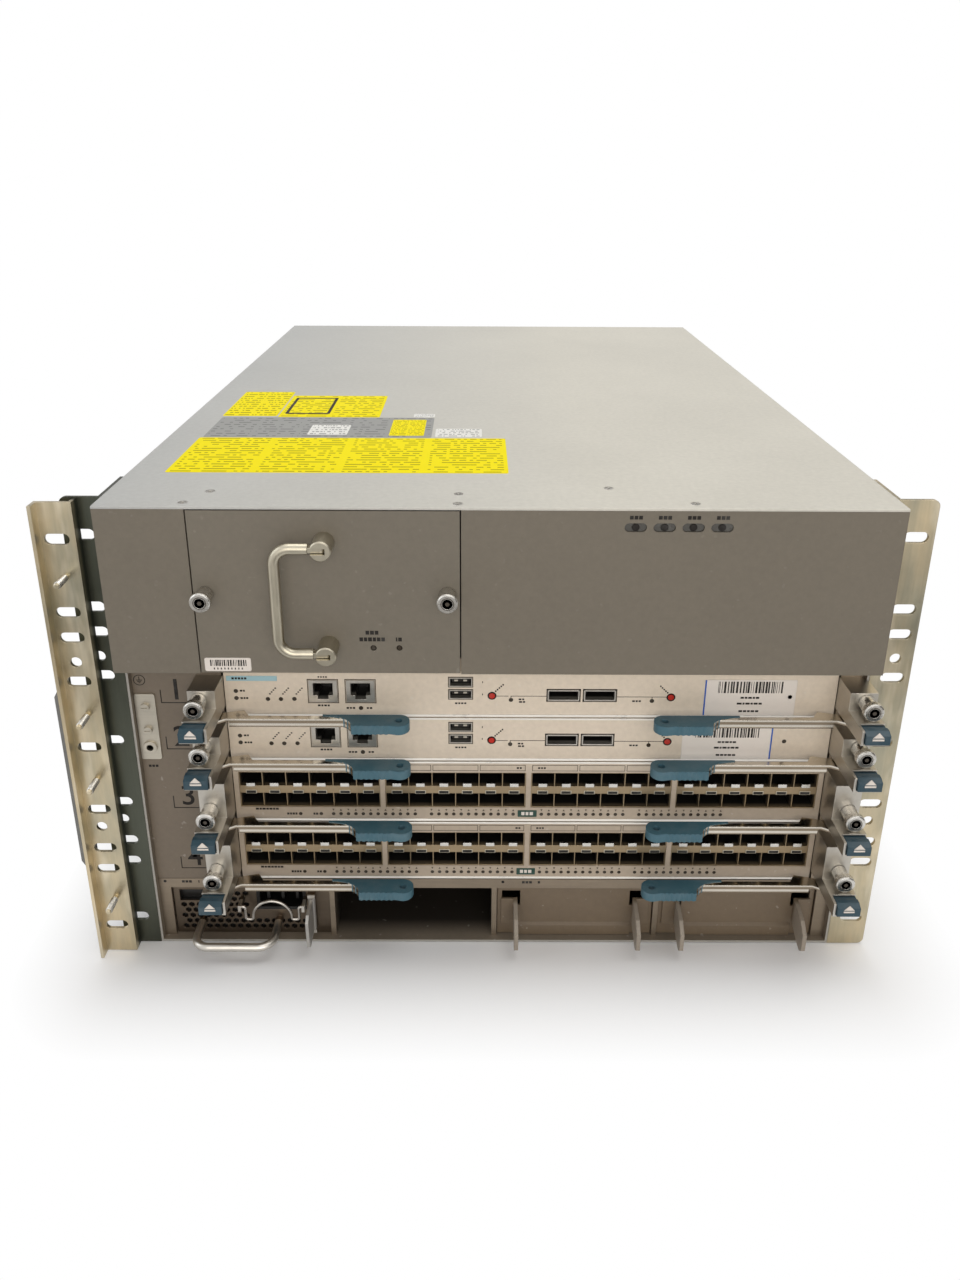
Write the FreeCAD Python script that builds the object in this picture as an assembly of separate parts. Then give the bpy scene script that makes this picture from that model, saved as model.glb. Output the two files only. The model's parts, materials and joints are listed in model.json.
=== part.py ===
# Modular chassis switch, seven rack units high.
# Frame: X to the right seen from the front, Y from the front to the back, Z up.
# The origin is the middle of the base's underside.  Lengths are in millimetres.
import FreeCAD, Part
import math
import os
from FreeCAD import Vector

os.makedirs("parts", exist_ok=True)

# ---- driving dimensions: the chassis ----
body_width = 439.0          # rack opening width
body_depth = 610.0          # bezel face to rear panel
body_height = 309.9         # base to top cover
sheet = 1.5                 # chassis sheet steel
cover_sheet = 1.5           # top cover
bezel_share = 0.3256         # fan section's share of the height, cover included
bezel_wall = 2.0
frame_setback = 15.7        # chassis side edges behind the bezel face
face_setback = 20.0         # module faceplates behind the bezel face
seam = 0.7                  # gap between neighbouring panels
slide_gap = 0.3             # clearance beside a part that slides
shaft_gap = 0.05            # radial clearance of a pin in its hole

# ---- fan tray ----
tray_left = -169.2
tray_width = 147.2
tray_depth = 215.0
tray_sheet = 1.2
tray_wall_drop = 16.9       # tray walls below the fan section's top
post_radius = 5.8
post_length = 15.0
post_share = 0.62           # spacing of the posts, as a share of the fan section
handle_rod = 3.1            # radius of the pull handle
handle_reach = 26.0
handle_bend = 9.0
handle_axis_proud = 10.5    # hinge line in front of the tray face
tongue_length_gap = 1.3     # rod end to post
tongue_thickness = 3.0
tongue_height_gap = 0.25
hinge_pin_radius = 1.1
tray_screw_inset = 6.6
tray_light_left = 24.8      # first small light, right of the tray's middle
tray_light_pitch = 14.6
tray_light_height = 16.6
tray_light_radius = 1.7
fan_size = 68.0
fan_thickness = 25.0
fan_setback = 90.0          # tray face to fan frame
fan_bore = 32.0
fan_tip_gap = 1.0
fan_hub = 12.5
blade_count = 7
blade_angle = 35.0

# ---- right bezel lights ----
window_first = 72.9
window_pitch = 15.6
window_count = 4
window_length = 12.0
window_width = 5.0
window_drop = 11.1          # below the cover's top face
lens_recess = 0.8

# ---- card cage and modules ----
module_centre = 20.0        # modules sit right of the chassis middle
side_flange = 13.5          # steel strip right of the slots
cage_floor = 47.5           # bottom of the lowest slot
cage_header = 9.9           # above the highest slot
small_share = 0.2045        # a supervisor slot's share of the stack
bay_margin = 7.7            # beside the outer power bays
slot_gap = 0.6              # between stacked faceplates
face_sheet = 1.5
face_flange = 12.0
face_round = 1.6
cage_wall_gap = 1.3         # faceplate end to cage side wall
cage_wall = 1.5
board_thickness = 2.4
board_level = 8.0           # board underside above the slot's bottom
board_setback = 28.0        # board end to midplane
guide_reach = 9.5           # ledge beyond the cage wall
guide_thickness = 1.2
rear_room = 40.5            # midplane to the chassis rear

# ---- ports ----
jack_width = 17.2
jack_height = 15.0
jack_depth = 21.0
jack_mouth_width = 11.8
jack_mouth_height = 8.2
jack_centres = (-124.4, -102.0)
jack_level = 17.8
usb_width = 13.8
usb_height = 6.1
usb_depth = 14.0
usb_mouth_height = 4.9
usb_wall = 0.6
usb_centre = -42.1
usb_levels = (15.9, 24.2)
flash_width = 19.2
flash_height = 7.4
flash_depth = 20.0
flash_wall = 0.8
flash_centres = (19.6, 41.4)
flash_level = 15.4
request_radius = 2.1
request_spots = ((-23.3, 15.0), (84.1, 14.3))
group_count = 4
group_columns = 6
group_post = 3.2            # between groups of cages and at both ends
cage_low = 10.6             # port field above the slot's bottom
cage_top_margin = 8.4       # port field below the slot's top
cage_band = 5.4             # solid band between the two rows
cage_skin = 0.6
cage_length = 47.0

# ---- module end brackets, screws, levers and buttons ----
bracket_sheet = 1.5
bracket_width = 16.0
bracket_front = 1.0         # screw plate, behind the bezel face
nose_front = -21.0          # button nose, in front of the bezel face
nose_low = 7.8
nose_high = 17.0
nose_shelf = -13.0
bracket_top_small = 2.4     # below the slot's top
bracket_top_large = 3.8
screw_level = 22.8
screw_inset = 9.6           # from the bracket's inner face
screw_head_radius = 5.6
screw_sleeve_radius = 4.7
screw_shank_radius = 2.0
screw_proud = 12.5          # head front to screw plate
screw_head_length = 4.2
button_gap = 0.4
button_proud = 1.6
button_length = 20.0
pin_setback = 6.0           # lever pin behind the bezel face
pin_inset = 8.5
lever_pin_radius = 2.0
lever_plate = 2.0
lever_top = 6.9
lever_bar_low = 1.5
lever_bar_front = 6.5
lever_bar_depth = 3.7
lever_bar_end = 84.0        # bar's end, from the bracket's inner face
tongue_tip = 12.0           # root plate's tip, from the bracket's inner face
tongue_back = 16.2
grip_start = 59.8
grip_end = 111.7
grip_front = -1.8
grip_back = 11.0
grip_tail = 1.4             # thickness of the tail's tip
grip_flare = 18.0           # length over which the tail widens
grip_thickness = 5.9
grip_over = 0.4             # grip above the bar
grip_hole = 2.2
grip_teeth = 7
tooth_run = 22.0
tooth_depth = 0.7

# ---- power bays ----
bay_centre = -0.5
bay_wall = 3.4
bay_count = 4
bay_top = 40.0
bay_depth = 420.0
supply_face = 22.0          # supply faces behind the bezel face
supply_depth = 330.0
supply_side_gap = 0.4
handle_level = 13.0
supply_rod = 2.6
supply_handle_left = 18.0   # from the supply's left side
supply_handle_width = 50.0
supply_handle_reach = 25.0
inlet_from_right = 47.7     # inlet's left side, from the supply's right side
inlet_width = 32.5
inlet_low = 20.5
inlet_height = 17.0
inlet_wall = 2.2
inlet_depth = 17.0
bail_wire = 1.0
bail_from_right = 56.7      # retainer's left side
bail_width = 41.0
bail_pivot_level = 29.5
bail_drop = 10.0
bail_foot = 8.0
bail_proud = 7.5
latch_from_right = 11.1     # latch pin
latch_sheet = 2.0
vent_hex = 2.1
vent_pitch = 5.1
vent_columns = 16
vent_rows = 7
vent_edge = 5.0             # bare steel round the vents
recess_left = 4.0           # lamp recess in the supply's top left corner
recess_right = 26.0
recess_low = 12.0           # below the supply's top
recess_high = 3.0
tab_sheet = 1.5
tab_reach = 23.0
tab_blade = 2.6
blank_depth = 40.0
cutout = 12.0

# ---- rack ears and the front bracket ----
rack_unit = 44.45
ear_reach = 23.5
ear_sheet = 2.0
ear_setback = 15.4
ear_leg = 36.6
ear_hole_offset = 13.1      # from the chassis side
ear_slot_length = 14.0
ear_slot_width = 6.6
ear_first_hole = 22.2       # below the top
ear_extra_slots = (82.6, 228.6)
ear_round_holes = (98.4, 212.7)
ear_hole_radius = 3.3
ear_corner = 4.0
front_bracket_width = 19.0
front_bracket_setback = 7.8
front_bracket_lip = 7.0
stud_offset = 10.5
stud_radius = 1.7
stud_length = 14.0
stud_drops = (1.0, 3.0, 4.0, 6.0)   # in rack units below the top
guard_height = 135.0
guard_middle = 130.5
guard_proud = 5.0
guard_depth = 13.0

# ---- levels and planes that follow ----
half_width = body_width / 2
front_bracket_left = -half_width - 32.5
front_plane = -body_depth / 2
rear_plane = body_depth / 2
cover_under = body_height - cover_sheet
bezel_height = bezel_share * body_height
bezel_bottom = body_height - bezel_height
post_spacing = post_share * bezel_height
face_plane = front_plane + face_setback
frame_plane = front_plane + frame_setback
supply_plane = front_plane + supply_face
slot_stack = bezel_bottom - cage_header - cage_floor
small_pitch = small_share * slot_stack
large_pitch = slot_stack / 2 - small_pitch
cage_high = large_pitch - cage_top_margin
module_half = half_width - sheet - side_flange - cage_wall_gap - module_centre
board_half = module_half - 2.2
cage_pitch = (2 * module_half - (group_count + 1) * group_post) / (group_count * group_columns)
cage_depth = body_depth - face_setback - sheet - rear_room
board_depth = cage_depth - board_setback
slot_bottoms = [cage_floor + 2 * large_pitch + small_pitch,
                cage_floor + 2 * large_pitch,
                cage_floor + large_pitch,
                cage_floor]
slot_heights = [small_pitch, small_pitch, large_pitch, large_pitch]
cage_ceiling = slot_bottoms[0] + small_pitch
cage_half = module_half + cage_wall_gap
tray_right = tray_left + tray_width
tray_middle = (tray_left + tray_right) / 2
tray_level = (bezel_bottom + cover_under) / 2
bay_pitch = (body_width - 2 * bay_margin) / bay_count
bay_width = bay_pitch - bay_wall


def box(x0, x1, y0, y1, z0, z1):
    return Part.makeBox(x1 - x0, y1 - y0, z1 - z0, Vector(x0, y0, z0))


def rod_x(radius, x0, x1, y, z):
    return Part.makeCylinder(radius, x1 - x0, Vector(x0, y, z), Vector(1, 0, 0))


def rod_y(radius, y0, y1, x, z):
    return Part.makeCylinder(radius, y1 - y0, Vector(x, y0, z), Vector(0, 1, 0))


def rod_z(radius, z0, z1, x, y):
    return Part.makeCylinder(radius, z1 - z0, Vector(x, y, z0), Vector(0, 0, 1))


def fuse(solids):
    return solids[0].multiFuse(solids[1:]).removeSplitter()


def cut(solid, tools):
    return solid.cut(Part.makeCompound(tools)) if tools else solid


def group(solids):
    return Part.makeCompound(solids)


def save(name, shape):
    shape.exportStep("parts/" + name + ".step")


def mirrored_x(shape, x):
    return shape.mirror(Vector(x, 0, 0), Vector(1, 0, 0))


def slot_y(length, width, y0, y1, x, z):
    """A hole with round ends that lies along X and runs through Y."""
    flat = (length - width) / 2
    middle = box(x - flat, x + flat, y0, y1, z - width / 2, z + width / 2)
    return fuse([middle, rod_y(width / 2, y0, y1, x - flat, z), rod_y(width / 2, y0, y1, x + flat, z)])


def prism_x(points, x0, x1):
    """Points are (y, z)."""
    corners = [Vector(x0, y, z) for y, z in points]
    return Part.Face(Part.makePolygon(corners + corners[:1])).extrude(Vector(x1 - x0, 0, 0))


def prism_z(points, z0, z1):
    """Points are (x, y)."""
    corners = [Vector(x, y, z0) for x, y in points]
    return Part.Face(Part.makePolygon(corners + corners[:1])).extrude(Vector(0, 0, z1 - z0))


def bent_rod(points, bend, radius):
    """A round rod along straight runs with equal bends between them."""
    corners = [Vector(*p) for p in points]
    solids = []
    start = corners[0]
    for i in range(1, len(corners) - 1):
        before = (corners[i - 1] - corners[i]).normalize()
        after = (corners[i + 1] - corners[i]).normalize()
        turn = math.pi - before.getAngle(after)
        back = bend * math.tan(turn / 2)
        enter = corners[i] + before * back
        centre = enter + (after - before * before.dot(after)).normalize() * bend
        axis = before.cross(after) * -1
        solids.append(Part.makeCylinder(radius, (enter - start).Length, start, enter - start))
        ring = Part.Face(Part.Wire(Part.makeCircle(radius, enter, before)))
        solids.append(ring.revolve(centre, axis, math.degrees(turn)))
        start = corners[i] + after * back
    solids.append(Part.makeCylinder(radius, (corners[-1] - start).Length, start, corners[-1] - start))
    return fuse(solids)


def turned_y(profile, x, z):
    """A turned piece about a line along Y.  The profile is (radius, y)."""
    corners = [Vector(x + r, y, z) for r, y in profile]
    face = Part.Face(Part.makePolygon(corners + corners[:1]))
    return face.revolve(Vector(x, 0, z), Vector(0, 1, 0), 360)


def round_edges(shape, radius, wanted):
    """Fillets the edges for which wanted(edge) is true."""
    chosen = [edge for edge in shape.Edges if wanted(edge)]
    return shape.makeFillet(radius, chosen)


def on_line_x(edge, y, z):
    ends = [v.Point for v in edge.Vertexes]
    return len(ends) == 2 and all(abs(p.y - y) < 0.01 and abs(p.z - z) < 0.01 for p in ends)


def runs_back(edge):
    ends = [v.Point for v in edge.Vertexes]
    return abs(ends[0].x - ends[-1].x) < 0.01 and abs(ends[0].z - ends[-1].z) < 0.01


# ---------------------------------------------------------------- chassis
def slot_rows(columns, rows, place):
    return [place(i, j) for i in range(columns) for j in range(rows)]


def chassis_shell():
    rear_slot = 7.0
    rear_slot_height = 30.0
    rear_pitch = 14.0
    rear_columns = 26
    side_slot_depth = 6.0
    side_pitch = 13.0
    side_columns = 26
    outer = box(-half_width, half_width, frame_plane, rear_plane, 0, cover_under)
    inner = box(-half_width + sheet, half_width - sheet, frame_plane - sheet, rear_plane - sheet,
                sheet, body_height)
    rear_vents = slot_rows(rear_columns, 2, lambda i, j: box(
        (i - (rear_columns - 1) / 2) * rear_pitch - rear_slot / 2,
        (i - (rear_columns - 1) / 2) * rear_pitch + rear_slot / 2,
        rear_plane - 2 * sheet, rear_plane + sheet,
        bezel_bottom + 14 + j * (rear_slot_height + 8),
        bezel_bottom + 14 + j * (rear_slot_height + 8) + rear_slot_height))
    side_slot_height = 34.0
    side_vents = slot_rows(side_columns, 3, lambda i, j: box(
        half_width - 2 * sheet, half_width + sheet,
        frame_plane + 120 + i * side_pitch, frame_plane + 120 + i * side_pitch + side_slot_depth,
        cage_floor + 12 + j * (side_slot_height + 10),
        cage_floor + 12 + j * (side_slot_height + 10) + side_slot_height))
    return cut(outer, [inner] + rear_vents + side_vents)


cover_screw_spots = ((-162.0, 26.0), (-172.0, 7.0), (-23.0, 23.0), (-23.0, 6.5), (62.0, 34.0), (106.0, 8.0))
cover_screw_radius = 2.6


def top_cover():
    plate = box(-half_width, half_width, front_plane, rear_plane, cover_under, body_height)
    plate = round_edges(plate, 1.0, lambda e: on_line_x(e, front_plane, body_height)
                        or on_line_x(e, rear_plane, body_height))
    sinks = [rod_z(cover_screw_radius + shaft_gap, cover_under - sheet, body_height + sheet, x,
                   front_plane + y)
             for x, y in cover_screw_spots]
    return cut(plate, sinks)


def cover_screws():
    """Countersunk screws that lie just under the cover's face."""
    screws = []
    for x, y in cover_screw_spots:
        head = rod_z(cover_screw_radius, cover_under, body_height - 0.15, x, front_plane + y)
        socket = rod_z(1.0, body_height - 1.0, body_height, x, front_plane + y)
        screws.append(head.cut(socket))
    return group(screws)


def bezel(x0, x1):
    """A painted front panel, folded back along all its edges."""
    outer = box(x0, x1, front_plane, frame_plane, bezel_bottom, cover_under)
    inner = box(x0 + bezel_wall, x1 - bezel_wall, front_plane + bezel_wall, frame_plane + 1,
                bezel_bottom + bezel_wall, cover_under - bezel_wall)
    return outer.cut(inner)


def window_places():
    return [window_first + i * window_pitch for i in range(window_count)]


window_level = body_height - window_drop


def bezel_right():
    windows = [slot_y(window_length, window_width, front_plane - 1, front_plane + bezel_wall + 1, x,
                      window_level)
               for x in window_places()]
    return cut(bezel(tray_right + seam, half_width), windows)


def status_lights():
    lenses = []
    for x in window_places():
        lens = slot_y(window_length - 2 * shaft_gap, window_width - 2 * shaft_gap,
                      front_plane + lens_recess, front_plane + bezel_wall, x, window_level)
        bulb = rod_y(1.7, front_plane + lens_recess - 0.4, front_plane + lens_recess + 0.2, x, window_level)
        lenses.append(fuse([lens, bulb]))
    return group(lenses)


# ---------------------------------------------------------------- card cage
bracket_inner = module_half + 0.3


def screw_x(side):
    return module_centre + side * (bracket_inner + screw_inset)


def screw_holes(y0, y1, side):
    return [rod_y(screw_shank_radius + 0.5, y0, y1, screw_x(side), zb + screw_level) for zb in slot_bottoms]


panel_right = module_centre - cage_half
plate_left = -half_width + sheet + 0.3
plate_corner = 1.5
plate_width = 12.5
plate_bottom = 138.5
plate_top = 184.0
plate_sheet = 1.0
jack_hole = 3.0
earth_levels = (175.3, 159.3)
earth_jack_level = 147.2


def slot_number_panel():
    face = box(-half_width + sheet, panel_right, face_plane, face_plane + sheet, cage_floor,
               bezel_bottom - seam)
    fold = box(-half_width + sheet, -half_width + 2 * sheet, face_plane, face_plane + 14, cage_floor,
               bezel_bottom - seam)
    jack = rod_y(jack_hole, face_plane - 1, face_plane + 3, plate_left + plate_width / 2, earth_jack_level)
    return cut(fuse([face, fold]), screw_holes(face_plane - 1, face_plane + 3, -1) + [jack])


def ground_plate():
    """Bare earthing plate with two screws and the wrist-strap jack."""
    x = plate_left + plate_width / 2
    front = face_plane - plate_sheet
    plate = box(plate_left, plate_left + plate_width, front, face_plane, plate_bottom, plate_top)
    plate = round_edges(plate, plate_corner, runs_back)
    heads = [rod_y(2.6, front - 1.6, front, x, z) for z in earth_levels]
    collar = rod_y(4.2, front - 1.2, front, x, earth_jack_level)
    socket = rod_y(2.1, front - 2, face_plane + 1, x, earth_jack_level)
    crosses = [box(x - 1.8, x + 1.8, front - 1.7, front - 1.0, z - 0.3, z + 0.3) for z in earth_levels]
    return cut(fuse([plate, collar] + heads), crosses + [socket])


def card_cage():
    """Two side walls with guide rails, a ceiling, a header and a front flange on the right."""
    solids = []
    back = face_plane + sheet + cage_depth
    start = face_plane + cage_length + 4
    for side in (-1, 1):
        inner = module_centre + side * cage_half
        outer = inner + side * cage_wall
        solids.append(box(min(inner, outer), max(inner, outer), face_plane + sheet, back, cage_floor,
                          cage_ceiling))
        reach = inner - side * guide_reach
        for zb in slot_bottoms:
            under = zb + board_level - slide_gap - guide_thickness
            over = zb + board_level + board_thickness + slide_gap
            for low in (under, over):
                solids.append(box(min(inner, reach), max(inner, reach), start, back, low,
                                  low + guide_thickness))
    flange_left = module_centre + cage_half
    flange = box(flange_left, half_width - sheet, face_plane, face_plane + sheet, cage_floor,
                 bezel_bottom - seam)
    solids.append(cut(flange, screw_holes(face_plane - 1, face_plane + 3, 1)))
    solids.append(box(-half_width + 2 * sheet, half_width - sheet, face_plane + sheet, back, cage_ceiling,
                      cage_ceiling + sheet))
    solids.append(box(panel_right, flange_left, face_plane, face_plane + sheet, cage_ceiling + slot_gap / 2,
                      bezel_bottom - seam))
    return group(solids)


def midplane():
    """Circuit plate across the back of the cage, with one connector for each slot."""
    y = face_plane + sheet + cage_depth
    plate = box(-half_width + sheet, half_width - sheet, y, y + 4, cage_floor, cage_ceiling + sheet)
    reach = face_plane + sheet + board_depth + slide_gap
    blocks = [box(module_centre - 150, module_centre + 150, reach, y, zb + board_level - 3,
                  zb + board_level + 12)
              for zb in slot_bottoms]
    return group([plate] + blocks)


# ---------------------------------------------------------------- power bays
def bay_middle(i):
    return bay_centre + (i - (bay_count - 1) / 2) * bay_pitch


def bay_frame():
    """Label strip, end posts, partitions and roof of the four power bays."""
    strip = box(-half_width + sheet, half_width - sheet, face_plane, face_plane + sheet, sheet,
                cage_floor - 0.4)
    holes = [box(bay_middle(i) - bay_width / 2, bay_middle(i) + bay_width / 2, face_plane - 1, face_plane + 3,
                 sheet, bay_top) for i in range(bay_count)]
    roof = box(-half_width + sheet, half_width - sheet, face_plane, face_plane + bay_depth, bay_top,
               bay_top + sheet)
    walls = []
    for i in range(bay_count + 1):
        x = bay_middle(0) - bay_pitch / 2 + i * bay_pitch
        walls.append(box(x - bay_wall / 2, x + bay_wall / 2, face_plane, face_plane + bay_depth, sheet,
                         bay_top))
    return fuse([cut(strip, holes), roof] + walls)


def bay_left(i):
    return bay_middle(i) - bay_width / 2 + supply_side_gap


supply_low = sheet + slide_gap
supply_high = bay_top - supply_side_gap
supply_width = bay_width - 2 * supply_side_gap
inlet_left = supply_width - inlet_from_right
bail_left = supply_width - bail_from_right
latch_left = supply_width - latch_from_right


def hexagon_y(radius, y0, y1, x, z):
    corners = [Vector(x + radius * math.sin(a * math.pi / 3), y0, z + radius * math.cos(a * math.pi / 3))
               for a in range(6)]
    return Part.Face(Part.makePolygon(corners + corners[:1])).extrude(Vector(0, y1 - y0, 0))


latch_pin_radius = 1.1
latch_barrel = 2.3
latch_low = 8.0
latch_high = 33.0
latch_lug = 2.5


def latch_x():
    return bay_left(0) + latch_left


def bail_points(proud):
    """Outline of the cord retainer's wire, from one pivot to the other."""
    x0 = bay_left(0) + bail_left
    x1 = x0 + bail_width
    y = supply_plane - proud
    low = bail_pivot_level - bail_drop
    return x0, x1, y, low


def power_supply():
    x0 = bay_left(0)
    solids = [box(x0, x0 + supply_width, supply_plane, supply_plane + supply_depth, supply_low, supply_high)]
    cuts = []
    for i in range(vent_columns):
        for j in range(vent_rows):
            across = vent_edge + 1 + i * vent_pitch + (j % 2) * vent_pitch / 2
            up = supply_low + vent_edge + j * vent_pitch * math.sqrt(3) / 2
            beside_inlet = across < inlet_left - vent_edge
            under_inlet = up < inlet_low - vent_edge and across < latch_left - vent_edge
            beside_recess = across > recess_right + vent_pitch / 2
            below_recess = up < supply_high - recess_low - vent_pitch / 2
            if (beside_inlet or under_inlet) and (beside_recess or below_recess):
                cuts.append(hexagon_y(vent_hex, supply_plane - 1, supply_plane + 3, x0 + across, up))
    cuts.append(box(x0 + recess_left, x0 + recess_right, supply_plane - 1, supply_plane + 4,
                    supply_high - recess_low, supply_high - recess_high))
    cuts.append(box(x0 + inlet_left, x0 + inlet_left + inlet_width, supply_plane - 1,
                    supply_plane + inlet_depth + 2, inlet_low, inlet_low + inlet_height))
    housing = cut(solids[0], cuts)
    lug_x = latch_x()
    pin_y = supply_plane - latch_barrel - 0.5
    lugs = []
    for z in (latch_low - latch_lug - slide_gap, latch_high + slide_gap):
        lugs.append(box(lug_x - 2.4, lug_x + 2.4, pin_y - 1.8, supply_plane, z, z + latch_lug))
    lugs.append(rod_z(latch_pin_radius, latch_low - latch_lug, latch_high + latch_lug, lug_x, pin_y))
    b0, b1, by, low = bail_points(bail_proud)
    ears = []
    for x in (b0, b1):
        ear = box(x - 1, x + 1, by - 2.4, supply_plane, bail_pivot_level - 2.4, bail_pivot_level + 2.4)
        ears.append(ear.cut(rod_x(bail_wire + shaft_gap, x - 2, x + 2, by, bail_pivot_level)))
    housing = fuse([housing] + lugs + ears)
    a = x0 + supply_handle_left
    b = a + supply_handle_width
    y = supply_plane - supply_handle_reach
    grip = bent_rod([(a, supply_plane, handle_level), (a, y, handle_level), (b, y, handle_level),
                     (b, supply_plane, handle_level)], 9.0, supply_rod)
    left = x0 + inlet_left
    inlet = box(left + 0.1, left + inlet_width - 0.1, supply_plane, supply_plane + inlet_depth + 2,
                inlet_low + 0.1, inlet_low + inlet_height - 0.1)
    mouth = box(left + inlet_wall, left + inlet_width - inlet_wall, supply_plane - 2,
                supply_plane + inlet_depth,
                inlet_low + inlet_wall, inlet_low + inlet_height - inlet_wall)
    pins = []
    for k in (-1, 0, 1):
        x = left + inlet_width / 2 + k * 9.5
        z = inlet_low + inlet_height / 2
        pins.append(box(x - 1, x + 1, supply_plane + 5, supply_plane + inlet_depth + 1, z - 4, z + 4))
    return group([housing, grip, fuse([inlet.cut(mouth)] + pins)])


def supply_bail():
    x0, x1, y, low = bail_points(bail_proud)
    radius = (bail_width - 2 * bail_foot) / 2
    top = low + 2.0
    stub = 2.6
    bend = 1.6
    middle = (x0 + x1) / 2
    left = bent_rod([(x0 - stub + 1.5, y, bail_pivot_level), (x0 + 3.2, y, bail_pivot_level),
                     (x0 + 3.2, y, low),
                     (middle - radius, y, low), (middle - radius, y, top)], bend, bail_wire)
    ring = Part.Face(Part.Wire(Part.makeCircle(bail_wire, Vector(middle - radius, y, top), Vector(0, 0, 1))))
    arch = ring.revolve(Vector(middle, y, top), Vector(0, 1, 0), 180)
    return fuse([left, arch, mirrored_x(left, middle)])


def supply_latch():
    """Finger blade on an upright pin beside the inlet."""
    x = latch_x()
    pin_y = supply_plane - latch_barrel - 0.5
    reach = supply_plane - tab_reach
    blade = prism_x([(pin_y, latch_low), (pin_y, latch_high), (reach + 4, latch_high),
                     (reach, latch_high - 3),
                     (reach + 1, latch_low + 2), (reach + 4,
                                                  latch_low)], x - latch_sheet / 2, x + latch_sheet / 2)
    barrel = rod_z(latch_barrel, latch_low, latch_high, x, pin_y)
    bore = rod_z(latch_pin_radius + shaft_gap, latch_low - 1, latch_high + 1, x, pin_y)
    return fuse([blade, barrel]).cut(bore)


def finger_tab(x, side):
    """Folded pull tab: a foot on the face and a blade that stands forward."""
    foot_width = 8.0
    reach = supply_plane - tab_reach
    foot = box(min(x, x - side * foot_width), max(x, x - side * foot_width), supply_plane - tab_sheet,
               supply_plane, 11.0, 31.0)
    b0, b1 = min(x, x + side * tab_blade), max(x, x + side * tab_blade)
    blade = prism_x([(supply_plane, 14.0), (supply_plane, 31.0), (reach + 7, 27.0), (reach, 21.0),
                     (reach, 9.0), (reach + 3, 6.5), (reach + 7, 7.0)], b0, b1)
    return [foot, blade]


def power_blank(i):
    x0 = bay_left(i)
    x1 = x0 + supply_width
    outer = box(x0, x1, supply_plane, supply_plane + blank_depth, supply_low, supply_high)
    inner = box(x0 + tab_sheet, x1 - tab_sheet, supply_plane + tab_sheet, supply_plane + blank_depth + 1,
                supply_low + tab_sheet, supply_high - tab_sheet)
    low_step = prism_x([(supply_plane, supply_low), (supply_plane, supply_low + 9.0),
                        (supply_plane - 1.6, supply_low + 7.6), (supply_plane - 1.6,
                                                                 supply_low)], x0 + 14, x1 - 14)
    holes = [box(x0 + 3, x0 + 3 + cutout, supply_plane - 1, supply_plane + 3, 24.5, 24.5 + cutout),
             box(x1 - 3 - cutout, x1 - 3, supply_plane - 1, supply_plane + 3, 24.5, 24.5 + cutout)]
    shell = cut(outer, [inner] + holes)
    return fuse([shell, low_step] + finger_tab(x0 + 10.5, 1) + finger_tab(x1 - 10.5, -1))


# ---------------------------------------------------------------- rack ears
def ear_levels():
    units = round(body_height / rack_unit)
    return [body_height - ear_first_hole - k * rack_unit for k in range(units)]


def ear_cuts(x, y0, y1):
    cuts = [slot_y(ear_slot_length, ear_slot_width, y0, y1, x, z) for z in ear_levels()]
    cuts += [slot_y(ear_slot_length, ear_slot_width, y0, y1, x, body_height - d) for d in ear_extra_slots]
    cuts += [rod_y(ear_hole_radius, y0, y1, x, body_height - d) for d in ear_round_holes]
    return cuts


ear_plane = front_plane + ear_setback


def rack_ear(side):
    edge = side * half_width
    tip = side * (half_width + ear_reach)
    flange = box(min(edge, tip), max(edge, tip), ear_plane, ear_plane + ear_sheet, 0, body_height)
    flange = round_edges(flange, ear_corner, lambda e: runs_back(e) and abs(e.Vertexes[0].Point.x - tip) < 0.01)
    skin = side * (half_width + ear_sheet)
    leg = box(min(edge, skin), max(edge, skin), ear_plane, ear_plane + ear_leg, 0, body_height)
    x = side * (half_width + ear_hole_offset)
    return cut(fuse([flange, leg]), ear_cuts(x, ear_plane - 1, ear_plane + ear_sheet + 1))


bracket_plane = front_plane + front_bracket_setback


def stud_x():
    return front_bracket_left + stud_offset


def stud_bracket():
    """Plated bracket in front of the left ear, with a forward lip on its outer edge."""
    x0 = front_bracket_left
    x1 = x0 + front_bracket_width
    low = 0.2
    high = body_height - 0.6
    flange = box(x0, x1, bracket_plane, bracket_plane + ear_sheet, low, high)
    web = box(x1 - ear_sheet, x1, bracket_plane, ear_plane, low, high)
    lip = box(x0 - ear_sheet, x0, bracket_plane - front_bracket_lip, bracket_plane + ear_sheet, low, high)
    holes = ear_cuts(x0 + front_bracket_width / 2 - 1.0, bracket_plane - 1, bracket_plane + ear_sheet + 1)
    studs = [rod_y(stud_radius - 0.02, bracket_plane - 1, bracket_plane + ear_sheet + 1, stud_x(),
                   body_height - units * rack_unit) for units in stud_drops]
    return group([cut(fuse([flange, web, lip]), holes + studs)] + bracket_studs())


def bracket_studs():
    """Studs pressed into the bracket."""
    studs = []
    for units in stud_drops:
        z = body_height - units * rack_unit
        profile = [(0, bracket_plane - stud_length), (stud_radius - 0.5, bracket_plane - stud_length),
                   (stud_radius, bracket_plane - stud_length + 0.6), (stud_radius, bracket_plane),
                   (stud_radius - 0.02, bracket_plane), (stud_radius - 0.02, bracket_plane + ear_sheet),
                   (0, bracket_plane + ear_sheet)]
        studs.append(turned_y(profile, stud_x(), z))
    return studs


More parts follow.
